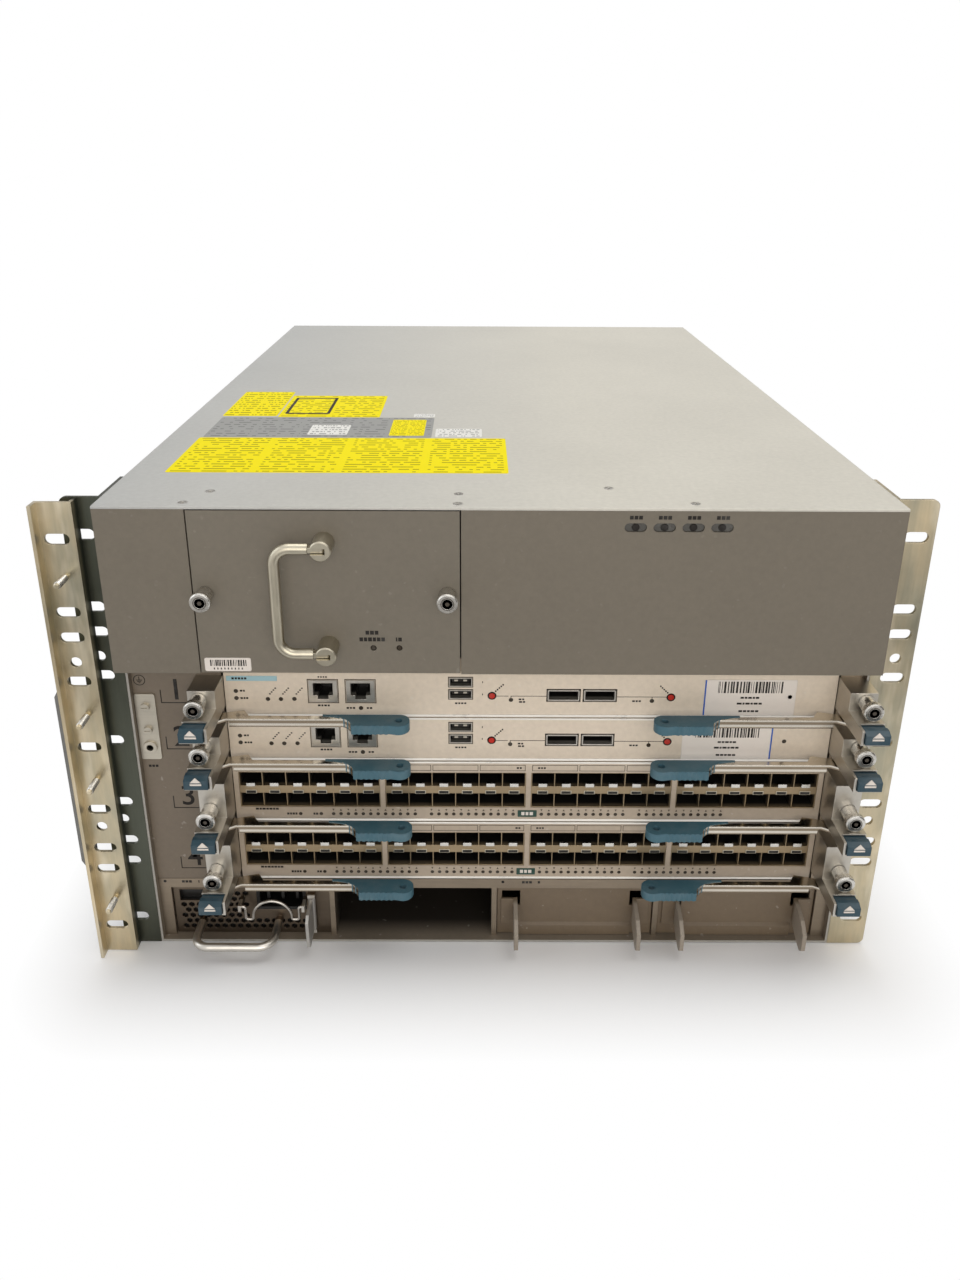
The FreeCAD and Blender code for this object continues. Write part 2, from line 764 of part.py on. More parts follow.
def edge_guard():
    """A bowed strip on the outer side of the front bracket."""
    x = front_bracket_left - ear_sheet
    half = guard_height / 2
    low = guard_middle - half
    high = guard_middle + half
    y0 = bracket_plane - 1.0
    corners = [Vector(x, y0, low), Vector(x - guard_proud, y0, low + 9),
               Vector(x - guard_proud, y0, high - 9),
               Vector(x, y0, high)]
    edges = [Part.LineSegment(corners[i], corners[i + 1]).toShape() for i in range(3)]
    edges.append(Part.LineSegment(corners[3], corners[0]).toShape())
    return Part.Face(Part.Wire(edges)).extrude(Vector(0, guard_depth, 0))


# ---------------------------------------------------------------- fan tray
post_plane = front_plane - post_length
handle_y = front_plane - handle_axis_proud


def tray_screw_places():
    return (tray_left + tray_screw_inset, tray_right - tray_screw_inset)


tray_screw_hole = 2.6


def fan_tray():
    low = bezel_bottom + 0.6
    high = cover_under - 0.6
    face = box(tray_left, tray_right, front_plane, front_plane + tray_sheet, low, high)
    back = front_plane + tray_depth
    floor = box(tray_left + 1, tray_right - 1, front_plane, back, low, low + tray_sheet)
    side = [box(x, x + tray_sheet, front_plane, back, low, low + bezel_height - tray_wall_drop)
            for x in (tray_left + 1, tray_right - 1 - tray_sheet)]
    rear = box(tray_left + 1, tray_right - 1, back - tray_sheet, back, low, low + 30)
    holes = [rod_y(tray_screw_hole, front_plane - 1, front_plane + 3, x,
                   tray_level) for x in tray_screw_places()]
    for k in range(2):
        x = tray_middle + tray_light_left + k * tray_light_pitch
        holes.append(rod_y(tray_light_radius, front_plane - 1, front_plane + 3, x,
                           bezel_bottom + tray_light_height))
    return cut(fuse([face, floor, rear] + side), holes)


fan_y = front_plane + fan_setback
fan_low = bezel_bottom + 0.6 + tray_sheet
fan_level = fan_low + fan_size / 2


def fan_middles():
    return (tray_middle - fan_size / 2 - 0.3, tray_middle + fan_size / 2 + 0.3)


fan_shaft = 1.5


def fan_frames():
    """Two square fan frames with round bores, motor seats, struts and shafts."""
    frames = []
    for x in fan_middles():
        outer = box(x - fan_size / 2, x + fan_size / 2, fan_y, fan_y + fan_thickness, fan_low,
                    fan_low + fan_size)
        bore = rod_y(fan_bore, fan_y - 1, fan_y + fan_thickness + 1, x, fan_level)
        seat = rod_y(fan_hub, fan_y + fan_thickness - 4, fan_y + fan_thickness, x, fan_level)
        arms = [box(x - fan_bore - 1, x + fan_bore + 1, fan_y + fan_thickness - 3, fan_y + fan_thickness,
                    fan_level - 1.5, fan_level + 1.5),
                box(x - 1.5, x + 1.5, fan_y + fan_thickness - 3, fan_y + fan_thickness,
                    fan_level - fan_bore - 1, fan_level + fan_bore + 1)]
        shaft = rod_y(fan_shaft, fan_y + 4, fan_y + fan_thickness - 3, x, fan_level)
        frames.append(fuse([outer.cut(bore), seat, shaft] + arms))
    return group(frames)


def fan_rotor(x):
    depth = fan_thickness - 7
    hub = rod_y(fan_hub, fan_y + 2, fan_y + 2 + depth, x, fan_level)
    tip = fan_bore - fan_tip_gap
    blades = []
    for k in range(blade_count):
        blade = box(-0.6, 0.6, -depth / 2 / math.cos(math.radians(blade_angle)) * 0.8,
                    depth / 2 / math.cos(math.radians(blade_angle)) * 0.8, fan_hub - 2, tip)
        blade.rotate(Vector(0, 0, 0), Vector(0, 0, 1), blade_angle)
        blade.rotate(Vector(0, 0, 0), Vector(0, 1, 0), k * 360 / blade_count)
        blade.translate(Vector(x, fan_y + 2 + depth / 2, fan_level))
        blades.append(blade)
    envelope = rod_y(tip, fan_y + 2, fan_y + 2 + depth, x, fan_level)
    wheel = fuse([hub] + blades).common(envelope)
    return wheel.cut(rod_y(fan_shaft + shaft_gap, fan_y, fan_y + fan_thickness, x, fan_level))


def post_levels():
    return (tray_level - post_spacing / 2, tray_level + post_spacing / 2)


def fan_handle_posts():
    posts = []
    slot_half = tongue_thickness / 2 + tongue_height_gap
    for z in post_levels():
        profile = [(0, post_plane), (post_radius - 0.6, post_plane), (post_radius, post_plane + 0.6),
                   (post_radius, front_plane), (0, front_plane)]
        post = turned_y(profile, tray_middle, z)
        slot = box(tray_middle - post_radius - 1, tray_middle, post_plane - 1, handle_y + 2.6, z - slot_half,
                   z + slot_half)
        nose = rod_z(2.6, z - slot_half, z + slot_half, tray_middle, handle_y)
        front = box(tray_middle - 2.6, tray_middle + 2.6, post_plane - 1, handle_y, z - slot_half,
                    z + slot_half)
        pin = rod_z(hinge_pin_radius, z - post_radius + 0.5, z + post_radius - 0.5, tray_middle, handle_y)
        posts.append(fuse([cut(post, [slot, nose, front]), pin]))
    return group(posts)


def fan_handle():
    """Bent pull rod with a flat tongue at each end, folded flat to the left."""
    low, high = post_levels()
    start = tray_middle - post_radius - tongue_length_gap
    end = tray_middle - handle_reach
    rod = bent_rod([(start, handle_y, high), (end, handle_y, high), (end, handle_y, low),
                    (start, handle_y, low)],
                   handle_bend, handle_rod)
    tongues = []
    half = tongue_thickness / 2
    for z in (low, high):
        bar = box(start - 1, tray_middle, handle_y - 2.3, handle_y + 2.3, z - half, z + half)
        eye = rod_z(2.3, z - half, z + half, tray_middle, handle_y)
        tongues += [bar, eye]
    holes = [rod_z(hinge_pin_radius + shaft_gap, z - 3, z + 3, tray_middle, handle_y) for z in (low, high)]
    return cut(fuse([rod] + tongues), holes)


def thumbscrew(x, z, plate, proud, reach):
    """Captive screw: a wide front rim, a slimmer sleeve and a shank behind the plate."""
    tip = plate - proud
    profile = [(0, tip), (screw_head_radius - 0.5, tip), (screw_head_radius, tip + 0.5),
               (screw_head_radius, tip + screw_head_length), (screw_sleeve_radius,
                                                              tip + screw_head_length + 0.4),
               (screw_sleeve_radius, plate - 0.3), (screw_shank_radius, plate - 0.3), (screw_shank_radius,
                                                                                       reach),
               (0, reach)]
    body = turned_y(profile, x, z)
    recess = rod_y(2.9, tip - 1, tip + 0.8, x, z)
    cross = [box(x - 2.0, x + 2.0, tip - 1, tip + 2.2, z - 0.45, z + 0.45),
             box(x - 0.45, x + 0.45, tip - 1, tip + 2.2, z - 2.0, z + 2.0)]
    return cut(body, [recess] + cross)


# ---------------------------------------------------------------- modules
def faceplate_blank(zb, height):
    """A faceplate folded back along its long edges, with rounded front corners."""
    x0 = module_centre - module_half
    x1 = module_centre + module_half
    low = zb + slot_gap / 2
    high = zb + height - slot_gap / 2
    outer = box(x0, x1, face_plane, face_plane + face_flange, low, high)
    outer = round_edges(outer, face_round, lambda e: on_line_x(e, face_plane, low)
                        or on_line_x(e, face_plane, high))
    inner = box(x0 - 1, x1 + 1, face_plane + face_sheet, face_plane + face_flange + 1, low + face_sheet,
                high - face_sheet)
    return outer.cut(inner)


def supervisor_faceplate(zb):
    y0 = face_plane - 1
    y1 = face_plane + face_sheet + 0.5
    c = module_centre
    holes = [box(c + x - jack_width / 2, c + x + jack_width / 2, y0, y1, zb + jack_level - jack_height / 2,
                 zb + jack_level + jack_height / 2) for x in jack_centres]
    holes += [box(c + usb_centre - usb_width / 2, c + usb_centre + usb_width / 2, y0, y1,
                  zb + z - usb_height / 2,
                  zb + z + usb_height / 2) for z in usb_levels]
    holes += [box(c + x - flash_width / 2, c + x + flash_width / 2, y0, y1,
                  zb + flash_level - flash_height / 2,
                  zb + flash_level + flash_height / 2) for x in flash_centres]
    holes += [rod_y(request_radius + 0.1, y0, y1, c + x, zb + z) for x, z in request_spots]
    return cut(faceplate_blank(zb, small_pitch), holes)


def group_starts():
    """Left edge of each group of cages, from the module's middle."""
    width = group_columns * cage_pitch
    first = -(group_count * width + (group_count - 1) * group_post) / 2
    return [first + g * (width + group_post) for g in range(group_count)]


def io_faceplate(zb):
    y0 = face_plane - 1
    y1 = face_plane + face_sheet + 0.5
    width = group_columns * cage_pitch
    holes = [box(module_centre + x, module_centre + x + width, y0, y1, zb + cage_low, zb + cage_high)
             for x in group_starts()]
    return cut(faceplate_blank(zb, large_pitch), holes)


def board(zb):
    """Circuit board, rear connector and two heat sinks."""
    c = module_centre
    y0 = face_plane + face_sheet
    y1 = y0 + board_depth
    z0 = zb + board_level
    z1 = z0 + board_thickness
    plate = box(c - board_half + 1.5, c + board_half - 1.5, y0, y1, z0, z1)
    socket = box(c - 145, c + 145, y1 - 16, y1, z1, z1 + 7)
    solids = [plate, socket]
    for x in (-70, 50):
        fins = [box(c + x, c + x + 60, y0 + 240, y0 + 310, z1, z1 + 4)]
        for k in range(7):
            left = c + x + k * 9.6
            fins.append(box(left, left + 2.4, y0 + 240, y0 + 310, z1 + 4, z1 + 12))
        solids.append(fuse(fins))
    return solids


def jack(x, zb):
    """Shielded eight-way jack with a stepped mouth."""
    c = module_centre + x
    z = zb + jack_level
    lip = 0.4
    outer = box(c - jack_width / 2 + 0.1, c + jack_width / 2 - 0.1, face_plane - lip, face_plane + jack_depth,
                z - jack_height / 2 + 0.1, z + jack_height / 2 - 0.1)
    mouth = box(c - jack_mouth_width / 2, c + jack_mouth_width / 2, face_plane - 2,
                face_plane + jack_depth - 3,
                z - 2.6, z - 2.6 + jack_mouth_height)
    catch = box(c - 3.2, c + 3.2, face_plane - 2, face_plane + jack_depth - 6, z - 5.2, z - 2.5)
    return outer.cut(group([mouth, catch]))


def socket_walls(c, z, width, height, wall, depth):
    """A sheet-metal socket: floor, roof, two cheeks and a back."""
    x0, x1 = c - width / 2 + 0.1, c + width / 2 - 0.1
    y0, y1 = face_plane - 0.3, face_plane + depth
    z0, z1 = z - height / 2 + 0.1, z + height / 2 - 0.1
    back = y1 - 1.5
    inner0, inner1 = c - width / 2 + wall, c + width / 2 - wall
    low, high = z - height / 2 + wall, z + height / 2 - wall
    return [box(x0, x1, y0, back, z0, low), box(x0, x1, y0, back, high, z1),
            box(x0, inner0, y0, back, low, high),
            box(inner1, x1, y0, back, low, high), box(x0, x1, back, y1, z0, z1)]


def supervisor_board(zb):
    """The board with its jacks, sockets, card slots and request buttons."""
    c = module_centre
    ports = [jack(x, zb) for x in jack_centres]
    for z in usb_levels:
        ports += socket_walls(c + usb_centre, zb + z, usb_width, usb_height, usb_wall, usb_depth)
    for x in flash_centres:
        ports += socket_walls(c + x, zb + flash_level, flash_width, flash_height, flash_wall, flash_depth)
    ports += [rod_y(request_radius, face_plane + 0.3, face_plane + 9, c + x, zb + z) for x,
              z in request_spots]
    return group(board(zb) + ports)


def cage_solids(zb):
    """Pluggable-module cages: three floors and upright dividers for each group."""
    solids = []
    y0 = face_plane + 0.4
    y1 = y0 + cage_length
    low = zb + cage_low
    high = zb + cage_high
    middle = (low + high) / 2
    width = group_columns * cage_pitch
    rows = ((low + cage_skin, middle - cage_band / 2), (middle + cage_band / 2, high - cage_skin))
    for start in group_starts():
        x0 = module_centre + start + 0.05
        x1 = module_centre + start + width - 0.05
        solids.append(box(x0, x1, y0, y1, low + 0.05, rows[0][0]))
        solids.append(box(x0, x1, y0, y1, rows[0][1], rows[1][0]))
        solids.append(box(x0, x1, y0, y1, rows[1][1], high - 0.05))
        for k in range(group_columns + 1):
            x = min(max(x0 + k * (width - 0.1) / group_columns - cage_skin / 2, x0), x1 - cage_skin)
            for bottom, top in rows:
                solids.append(box(x, x + cage_skin, y0, y1, bottom, top))
    return solids


def io_board(zb):
    return group(board(zb) + cage_solids(zb))


def end_bracket(zb, side, top):
    """Folded end bracket: side plate, screw plate, shelf, button nose and lever pin."""
    inner = module_centre + side * bracket_inner
    outer = inner + side * bracket_width

    def span(a, b):
        xs = (inner + side * a, inner + side * b)
        return min(xs), max(xs)

    t = bracket_sheet
    front = front_plane + bracket_front
    nose = front_plane + nose_front
    shelf = front_plane + nose_shelf
    plate = prism_x([(face_plane, zb + nose_low), (face_plane, zb + top), (front, zb + top),
                     (front, zb + nose_high),
                     (nose, zb + nose_high), (nose, zb + nose_low)], *span(0, t))
    a, b = span(0, bracket_width)
    solids = [plate,
              box(a, b, front, front + t, zb + nose_high - t, zb + top),
              box(a, b, front, face_plane, zb + top - t, zb + top),
              box(a, b, shelf, front + t, zb + nose_high - 1.0, zb + nose_high),
              box(a, b, nose, front + 8, zb + nose_low, zb + nose_low + 1.0)]
    c, d = span(bracket_width - t, bracket_width)
    solids.append(box(c, d, front, face_plane, zb + nose_high, zb + top))
    pin_x = inner + side * pin_inset
    solids.append(rod_z(lever_pin_radius, zb + lever_top - lever_plate - 1.5, zb + nose_low + 0.5, pin_x,
                        front_plane + pin_setback))
    hole = rod_y(screw_shank_radius + 0.5, front - 1, front + t + 1, screw_x(side), zb + screw_level)
    side_edge = box(half_width - sheet - slide_gap, half_width + 1, frame_plane - slide_gap, face_plane + 1,
                    zb, zb + top + 1)
    return cut(fuse(solids), [hole, side_edge])


def brackets(zb, top):
    return group([end_bracket(zb, -1, top), end_bracket(zb, 1, top)])


def thumbscrews(zb):
    plate = front_plane + bracket_front
    return group([thumbscrew(screw_x(side), zb + screw_level, plate, screw_proud,
                             face_plane + 6) for side in (-1, 1)])


def eject_button(zb, side):
    """Wedge-topped push button that slides back into the bracket's nose."""
    inner = module_centre + side * bracket_inner
    x0 = inner + side * (bracket_sheet + button_gap)
    x1 = inner + side * (bracket_width - 0.2)
    a, b = min(x0, x1), max(x0, x1)
    front = front_plane + nose_front - button_proud
    low = zb + nose_low + 1.0 + button_gap
    high = zb + nose_high - 1.0 - button_gap
    crown = high + 1.0
    rest = front_plane + nose_shelf - 3.2
    return prism_x([(front, low), (front, high - 0.6), (front + 3.5, crown), (rest, crown), (rest, high),
                    (front + button_length, high), (front + button_length, low)], a, b)


def lever(zb, side):
    """Ejector: root plate and tongue, a slim bar and a moulded grip with a toothed edge."""
    def x(distance):
        return module_centre + side * (bracket_inner - distance)

    fp = front_plane
    top = zb + lever_top
    bar_back = lever_bar_front + lever_bar_depth
    root = prism_z([(x(-pin_inset - 4.5), fp + pin_setback - 3.5),
                    (x(-pin_inset + 3), fp + pin_setback - 4.5),
                    (x(3), fp + lever_bar_front), (x(tongue_tip + 4), fp + lever_bar_front),
                    (x(tongue_tip + 4), fp + bar_back), (x(tongue_tip), fp + tongue_back),
                    (x(-pin_inset - 4.5), fp + pin_setback + 4)], top - lever_plate, top)
    bar0, bar1 = min(x(5), x(lever_bar_end)), max(x(5), x(lever_bar_end))
    bar = box(bar0, bar1, fp + lever_bar_front, fp + bar_back, zb + lever_bar_low, top)
    arm = fuse([root, bar])
    arm = arm.cut(rod_z(lever_pin_radius + shaft_gap, zb, top + 1, x(-pin_inset), fp + pin_setback))
    grip_top = top + grip_over
    grip_low = grip_top - grip_thickness
    grip_round = (grip_back - grip_front) / 2
    centre = grip_end - grip_round
    valley = grip_front + 1.0
    throat = grip_back - grip_tail - valley
    outline = [(x(centre), fp + grip_back), (x(grip_start), fp + grip_back)]
    for k in range(7):
        turn = math.radians(15 * k)
        outline.append((x(grip_start + grip_flare * math.sin(turn)), fp + valley + throat * math.cos(turn)))
    pitch = tooth_run / grip_teeth
    for k in range(grip_teeth):
        root_of_tooth = grip_start + grip_flare + k * pitch
        outline.append((x(root_of_tooth + 0.5 * pitch), fp + valley - tooth_depth))
        outline.append((x(root_of_tooth + pitch), fp + valley))
    outline.append((x(centre), fp + grip_front))
    grip = fuse([prism_z(outline, grip_low, grip_top),
                 rod_z(grip_round, grip_low, grip_top, x(centre), fp + grip_front + grip_round)])
    hole = rod_z(grip_hole, grip_low - 1, grip_top + 1, x(centre), fp + grip_front + grip_round)
    return group([arm, cut(grip, [arm, hole])])


# ---------------------------------------------------------------- write every piece
save("chassis_shell", chassis_shell())
save("top_cover", top_cover())
save("cover_screws", cover_screws())
save("bezel_left", bezel(-half_width, tray_left - seam))
save("bezel_right", bezel_right())
save("status_lights", status_lights())
save("slot_number_panel", slot_number_panel())
save("ground_plate", ground_plate())
save("card_cage", card_cage())
save("midplane", midplane())
save("bay_frame", bay_frame())
save("rack_ear_left", rack_ear(-1))
save("rack_ear_right", rack_ear(1))
save("stud_bracket", stud_bracket())
save("edge_guard", edge_guard())

save("fan_tray", fan_tray())
save("fan_frames", fan_frames())
for side_name, middle in zip(("left", "right"), fan_middles()):
    save("fan_rotor_" + side_name, fan_rotor(middle))
save("fan_handle_posts", fan_handle_posts())
save("fan_handle", fan_handle())
for side_name, place in zip(("left", "right"), tray_screw_places()):
    save("fan_screw_" + side_name, thumbscrew(place, tray_level, front_plane, screw_proud, front_plane + 9))

save("power_supply", power_supply())
save("supply_bail", supply_bail())
save("supply_latch", supply_latch())
save("power_blank_3", power_blank(2))
save("power_blank_4", power_blank(3))

for slot in range(4):
    bottom = slot_bottoms[slot]
    small = slot_heights[slot] == small_pitch
    kind = "supervisor" if small else "io_module"
    name = "%s_%d_" % (kind, slot + 1)
    save(name + "faceplate", supervisor_faceplate(bottom) if small else io_faceplate(bottom))
    save(name + "board", supervisor_board(bottom) if small else io_board(bottom))
    drop = bracket_top_small if small else bracket_top_large
    save(name + "brackets", brackets(bottom, slot_heights[slot] - drop))
    save(name + "thumbscrews", thumbscrews(bottom))
    for side, side_name in ((-1, "left"), (1, "right")):
        save("lever_%d_%s" % (slot + 1, side_name), lever(bottom, side))
        save("eject_button_%d_%s" % (slot + 1, side_name), eject_button(bottom, side))
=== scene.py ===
import json
import math

import bpy
from mathutils import Matrix, Vector


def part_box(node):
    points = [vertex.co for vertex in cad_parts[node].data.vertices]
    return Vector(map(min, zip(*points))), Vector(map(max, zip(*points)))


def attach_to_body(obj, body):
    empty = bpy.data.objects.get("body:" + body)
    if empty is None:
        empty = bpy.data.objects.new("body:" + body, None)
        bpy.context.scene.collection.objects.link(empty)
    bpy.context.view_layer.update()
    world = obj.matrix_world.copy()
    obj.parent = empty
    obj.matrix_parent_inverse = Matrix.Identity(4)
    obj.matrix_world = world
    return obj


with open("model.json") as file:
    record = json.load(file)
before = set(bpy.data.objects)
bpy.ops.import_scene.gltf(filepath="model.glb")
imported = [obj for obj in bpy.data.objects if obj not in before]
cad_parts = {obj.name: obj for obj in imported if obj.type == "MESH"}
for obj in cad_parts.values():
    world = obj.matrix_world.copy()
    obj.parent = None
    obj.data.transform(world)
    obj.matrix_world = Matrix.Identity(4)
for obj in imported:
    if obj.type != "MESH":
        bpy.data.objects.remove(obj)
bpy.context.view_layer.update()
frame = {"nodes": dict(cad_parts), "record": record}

scene = bpy.context.scene


def boxMm(node):  # a node's box in millimetres
    low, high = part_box(node)
    return low * 1000, high * 1000


coverLow, coverHigh = boxMm("top_cover")
trayLow, trayHigh = boxMm("fan_tray")
panelHigh = boxMm("slot_number_panel")[1]
earthLow, earthHigh = boxMm("ground_plate")
supplyLow = boxMm("power_supply")[0]
bezelFace = coverLow.y  # front face of the fan section
moduleFace = boxMm("supervisor_1_faceplate")[0].y  # front face of every module
moduleNames = ["supervisor_1", "supervisor_2", "io_module_3", "io_module_4"]
slotBottom = {name: boxMm(name + "_faceplate")[0].z - 0.3 for name in moduleNames}
faceLow, faceHigh = boxMm("supervisor_1_faceplate")
moduleMiddle = (faceLow.x + faceHigh.x) / 2
portGroups = {"count": 4, "columns": 6, "pitch": 14.6, "post": 3.2, "low": 10.6, "high": 36.4, "band": 5.4}


def columnEdges():  # left edge of each cage, group by group, from the module's middle
    width = portGroups["columns"] * portGroups["pitch"]
    total = portGroups["count"] * width + (portGroups["count"] - 1) * portGroups["post"]
    starts = [-total / 2 + group * (width + portGroups["post"]) for group in range(portGroups["count"])]
    return [[start + column * portGroups["pitch"] for column in range(portGroups["columns"])] for start in starts]


def addNode(tree, kind, **settings):
    node = tree.nodes.new(kind)
    for key, value in settings.items():
        setattr(node, key, value)
    return node


def setInputs(node, **values):
    for key, value in values.items():
        node.inputs[key].default_value = value
    return node


def wire(tree, source, target):
    tree.links.new(source, target)


def newGroup(name, inputs):  # each input's socket type follows from its value
    tree = bpy.data.node_groups.new(name, "ShaderNodeTree")
    for label, value in inputs.items():
        kind = "Float" if isinstance(value, float) else "Color" if len(value) == 4 else "Vector"
        socket = tree.interface.new_socket(name=label, in_out="INPUT", socket_type="NodeSocket" + kind)
        socket.default_value = value
    for label, kind in (("Color", "Color"), ("Roughness", "Float"), ("Normal", "Vector")):
        tree.interface.new_socket(name=label, in_out="OUTPUT", socket_type="NodeSocket" + kind)
    return tree, tree.nodes.new("NodeGroupInput").outputs, tree.nodes.new("NodeGroupOutput").inputs


def mathNode(tree, operation, first, second=0.5, clamp=False):
    node = addNode(tree, "ShaderNodeMath", operation=operation, use_clamp=clamp)
    for index, value in enumerate((first, second)):
        if isinstance(value, (int, float)):
            node.inputs[index].default_value = value
        else:
            wire(tree, value, node.inputs[index])
    return node.outputs[0]


def mathWith(operation):
    def build(tree, first, second=0.5, clamp=False):
        return mathNode(tree, operation, first, second, clamp)
    return build


plus, minus, times = mathWith("ADD"), mathWith("SUBTRACT"), mathWith("MULTIPLY")
isOver, isUnder, larger = mathWith("GREATER_THAN"), mathWith("LESS_THAN"), mathWith("MAXIMUM")


def distanceFrom(tree, value, middle):
    return mathNode(tree, "ABSOLUTE", minus(tree, value, middle))


def mixColor(tree, factor, first, second, blend="MIX"):
    node = addNode(tree, "ShaderNodeMix", data_type="RGBA", blend_type=blend, clamp_result=True)
    for socket, value in ((node.inputs[0], factor), (node.inputs[6], first), (node.inputs[7], second)):
        if isinstance(value, (int, float, tuple)):
            socket.default_value = value
        else:
            wire(tree, value, socket)
    return node.outputs[2]


def objectPlace(tree):
    return addNode(tree, "ShaderNodeTexCoord").outputs["Object"]


def splitPlace(tree, vector):
    split = addNode(tree, "ShaderNodeSeparateXYZ")
    wire(tree, vector, split.inputs[0])
    return split.outputs


def vectorNode(tree, operation, first, second=None):
    node = addNode(tree, "ShaderNodeVectorMath", operation=operation)
    for index, value in enumerate((first, second)):
        if isinstance(value, tuple):
            node.inputs[index].default_value = value
        elif value is not None:
            wire(tree, value, node.inputs[index])
    return node


def brighten(tree, color, amount):
    node = vectorNode(tree, "SCALE", color)
    wire(tree, amount, node.inputs["Scale"])
    return node.outputs[0]


def noise(tree, vector, scale, detail=3.0, roughness=0.55, distortion=0.0):
    node = addNode(tree, "ShaderNodeTexNoise")
    setInputs(node, Detail=detail, Roughness=roughness, Distortion=distortion)
    wire(tree, vector, node.inputs["Vector"])
    if isinstance(scale, float):
        node.inputs["Scale"].default_value = scale
    else:
        wire(tree, scale, node.inputs["Scale"])
    return node.outputs["Fac"]


def stretch(tree, vector, scale):
    node = addNode(tree, "ShaderNodeMapping")
    setInputs(node, Scale=scale)
    wire(tree, vector, node.inputs["Vector"])
    return node.outputs["Vector"]


def ramp(tree, value, low, high, first=0.0, second=1.0):
    node = addNode(tree, "ShaderNodeMapRange")
    for index, number in ((1, low), (2, high), (3, first), (4, second)):
        node.inputs[index].default_value = number
    wire(tree, value, node.inputs[0])
    return node.outputs[0]


def bump(tree, height, strength, distance, normal=None):
    node = addNode(tree, "ShaderNodeBump")
    setInputs(node, Strength=strength, Distance=distance)
    wire(tree, height, node.inputs["Height"])
    if normal:
        wire(tree, normal, node.inputs["Normal"])
    return node.outputs["Normal"]


def endGroup(tree, end, color, rough, grain, strength, depth, edgeRadius):
    wire(tree, color, end["Color"])
    wire(tree, rough, end["Roughness"])
    edge = setInputs(addNode(tree, "ShaderNodeBevel", samples=3), Radius=edgeRadius)  # softly worn edges
    wire(tree, bump(tree, grain, strength, depth, edge.outputs[0]), end["Normal"])
    return tree


def buildPaintGroup():  # powder paint: fine grain, faint blotches, dust specks
    look = {"fineTone": 0.10, "speckColor": (0.75, 0.73, 0.68, 1), "speckFrom": 0.72, "speckTo": 0.78}
    tree, start, end = newGroup("paintEffect", {"Color": (0.5, 0.5, 0.5, 1), "Grain Scale": 900.0, "Blotch": 0.12,
                                                "Roughness": 0.55, "Specks": 0.5})
    place = objectPlace(tree)
    grain = noise(tree, place, start["Grain Scale"], 2.0, 0.6)
    blotch = noise(tree, place, 9.0, 4.0, 0.6)
    fine = noise(tree, place, 320.0, 2.0)
    speck = ramp(tree, noise(tree, place, 240.0, 1.0), look["speckFrom"], look["speckTo"])
    shade = times(tree, minus(tree, blotch, 0.5), start["Blotch"])
    shade = plus(tree, shade, times(tree, minus(tree, fine, 0.5), look["fineTone"]))
    color = brighten(tree, start["Color"], plus(tree, 1.0, times(tree, shade, 2.0)))
    amount = times(tree, speck, times(tree, start["Specks"], 0.35))
    color = mixColor(tree, amount, color, look["speckColor"])
    rough = plus(tree, start["Roughness"], times(tree, shade, 0.6))
    return endGroup(tree, end, color, rough, grain, 0.16, 0.0003, 0.0005)


def buildMetalGroup():  # rolled or brushed sheet: streaks one way, smudges and small scratches
    look = {"streakTone": 0.25, "scratchWidth": 0.006, "scratchRough": 0.06}
    tree, start, end = newGroup("metalEffect", {"Color": (0.6, 0.6, 0.6, 1), "Streak": (30.0, 900.0, 900.0),
                                                "Roughness": 0.3, "Smudge": 0.2})
    place = objectPlace(tree)
    lines = noise(tree, vectorNode(tree, "MULTIPLY", place, start["Streak"]).outputs[0], 1.0, 4.0, 0.65)
    smudge = noise(tree, place, 38.0, 4.0, 0.62)
    scratch = distanceFrom(tree, noise(tree, place, 26.0, 6.0, 0.75, 2.2), 0.5)
    scratch = ramp(tree, scratch, 0.0, look["scratchWidth"], 1.0, 0.0)
    tone = times(tree, minus(tree, smudge, 0.5), start["Smudge"])
    tone = plus(tree, tone, times(tree, minus(tree, lines, 0.5), look["streakTone"]))
    rough = plus(tree, start["Roughness"], times(tree, tone, 0.5))
    rough = plus(tree, rough, times(tree, scratch, look["scratchRough"]))
    color = brighten(tree, start["Color"], plus(tree, 1.0, tone))
    return endGroup(tree, end, color, rough, lines, 0.10, 0.0002, 0.0004)


def buildPlasticGroup():  # moulded plastic: spark-eroded grain, faint dust
    look = {"dustColor": (0.42, 0.42, 0.40, 1), "dustFrom": 0.45, "dustTo": 0.75}
    tree, start, end = newGroup("plasticEffect", {"Color": (0.1, 0.3, 0.4, 1), "Grain Scale": 1400.0,
                                                  "Roughness": 0.45, "Dust": 0.15})
    place = objectPlace(tree)
    grain = noise(tree, place, start["Grain Scale"], 2.0, 0.5)
    cloud = noise(tree, place, 70.0, 4.0, 0.6)
    dusty = times(tree, ramp(tree, cloud, look["dustFrom"], look["dustTo"]), start["Dust"])
    rough = plus(tree, start["Roughness"], times(tree, cloud, 0.15))
    color = mixColor(tree, dusty, start["Color"], look["dustColor"])
    return endGroup(tree, end, color, rough, grain, 0.12, 0.0002, 0.0006)


effects = {"paint": buildPaintGroup(), "metal": buildMetalGroup(), "plastic": buildPlasticGroup()}
print("shared effects built")


def startMaterial(name):
    material = bpy.data.materials.new(name)
    material.use_nodes = True
    tree = material.node_tree
    shader = tree.nodes["Principled BSDF"]
    return material, tree, shader


def useEffect(tree, kind, color, **values):
    node = addNode(tree, "ShaderNodeGroup", node_tree=effects[kind])
    if isinstance(color, tuple):
        node.inputs["Color"].default_value = (*color, 1)
    else:
        wire(tree, color, node.inputs["Color"])
    for key, value in values.items():
        node.inputs[key.replace("_", " ")].default_value = value
    return node


def attach(tree, effect, shader, names=("Color", "Roughness", "Normal")):
    for name in names:
        wire(tree, effect.outputs[name], shader.inputs["Base Color" if name == "Color" else name])


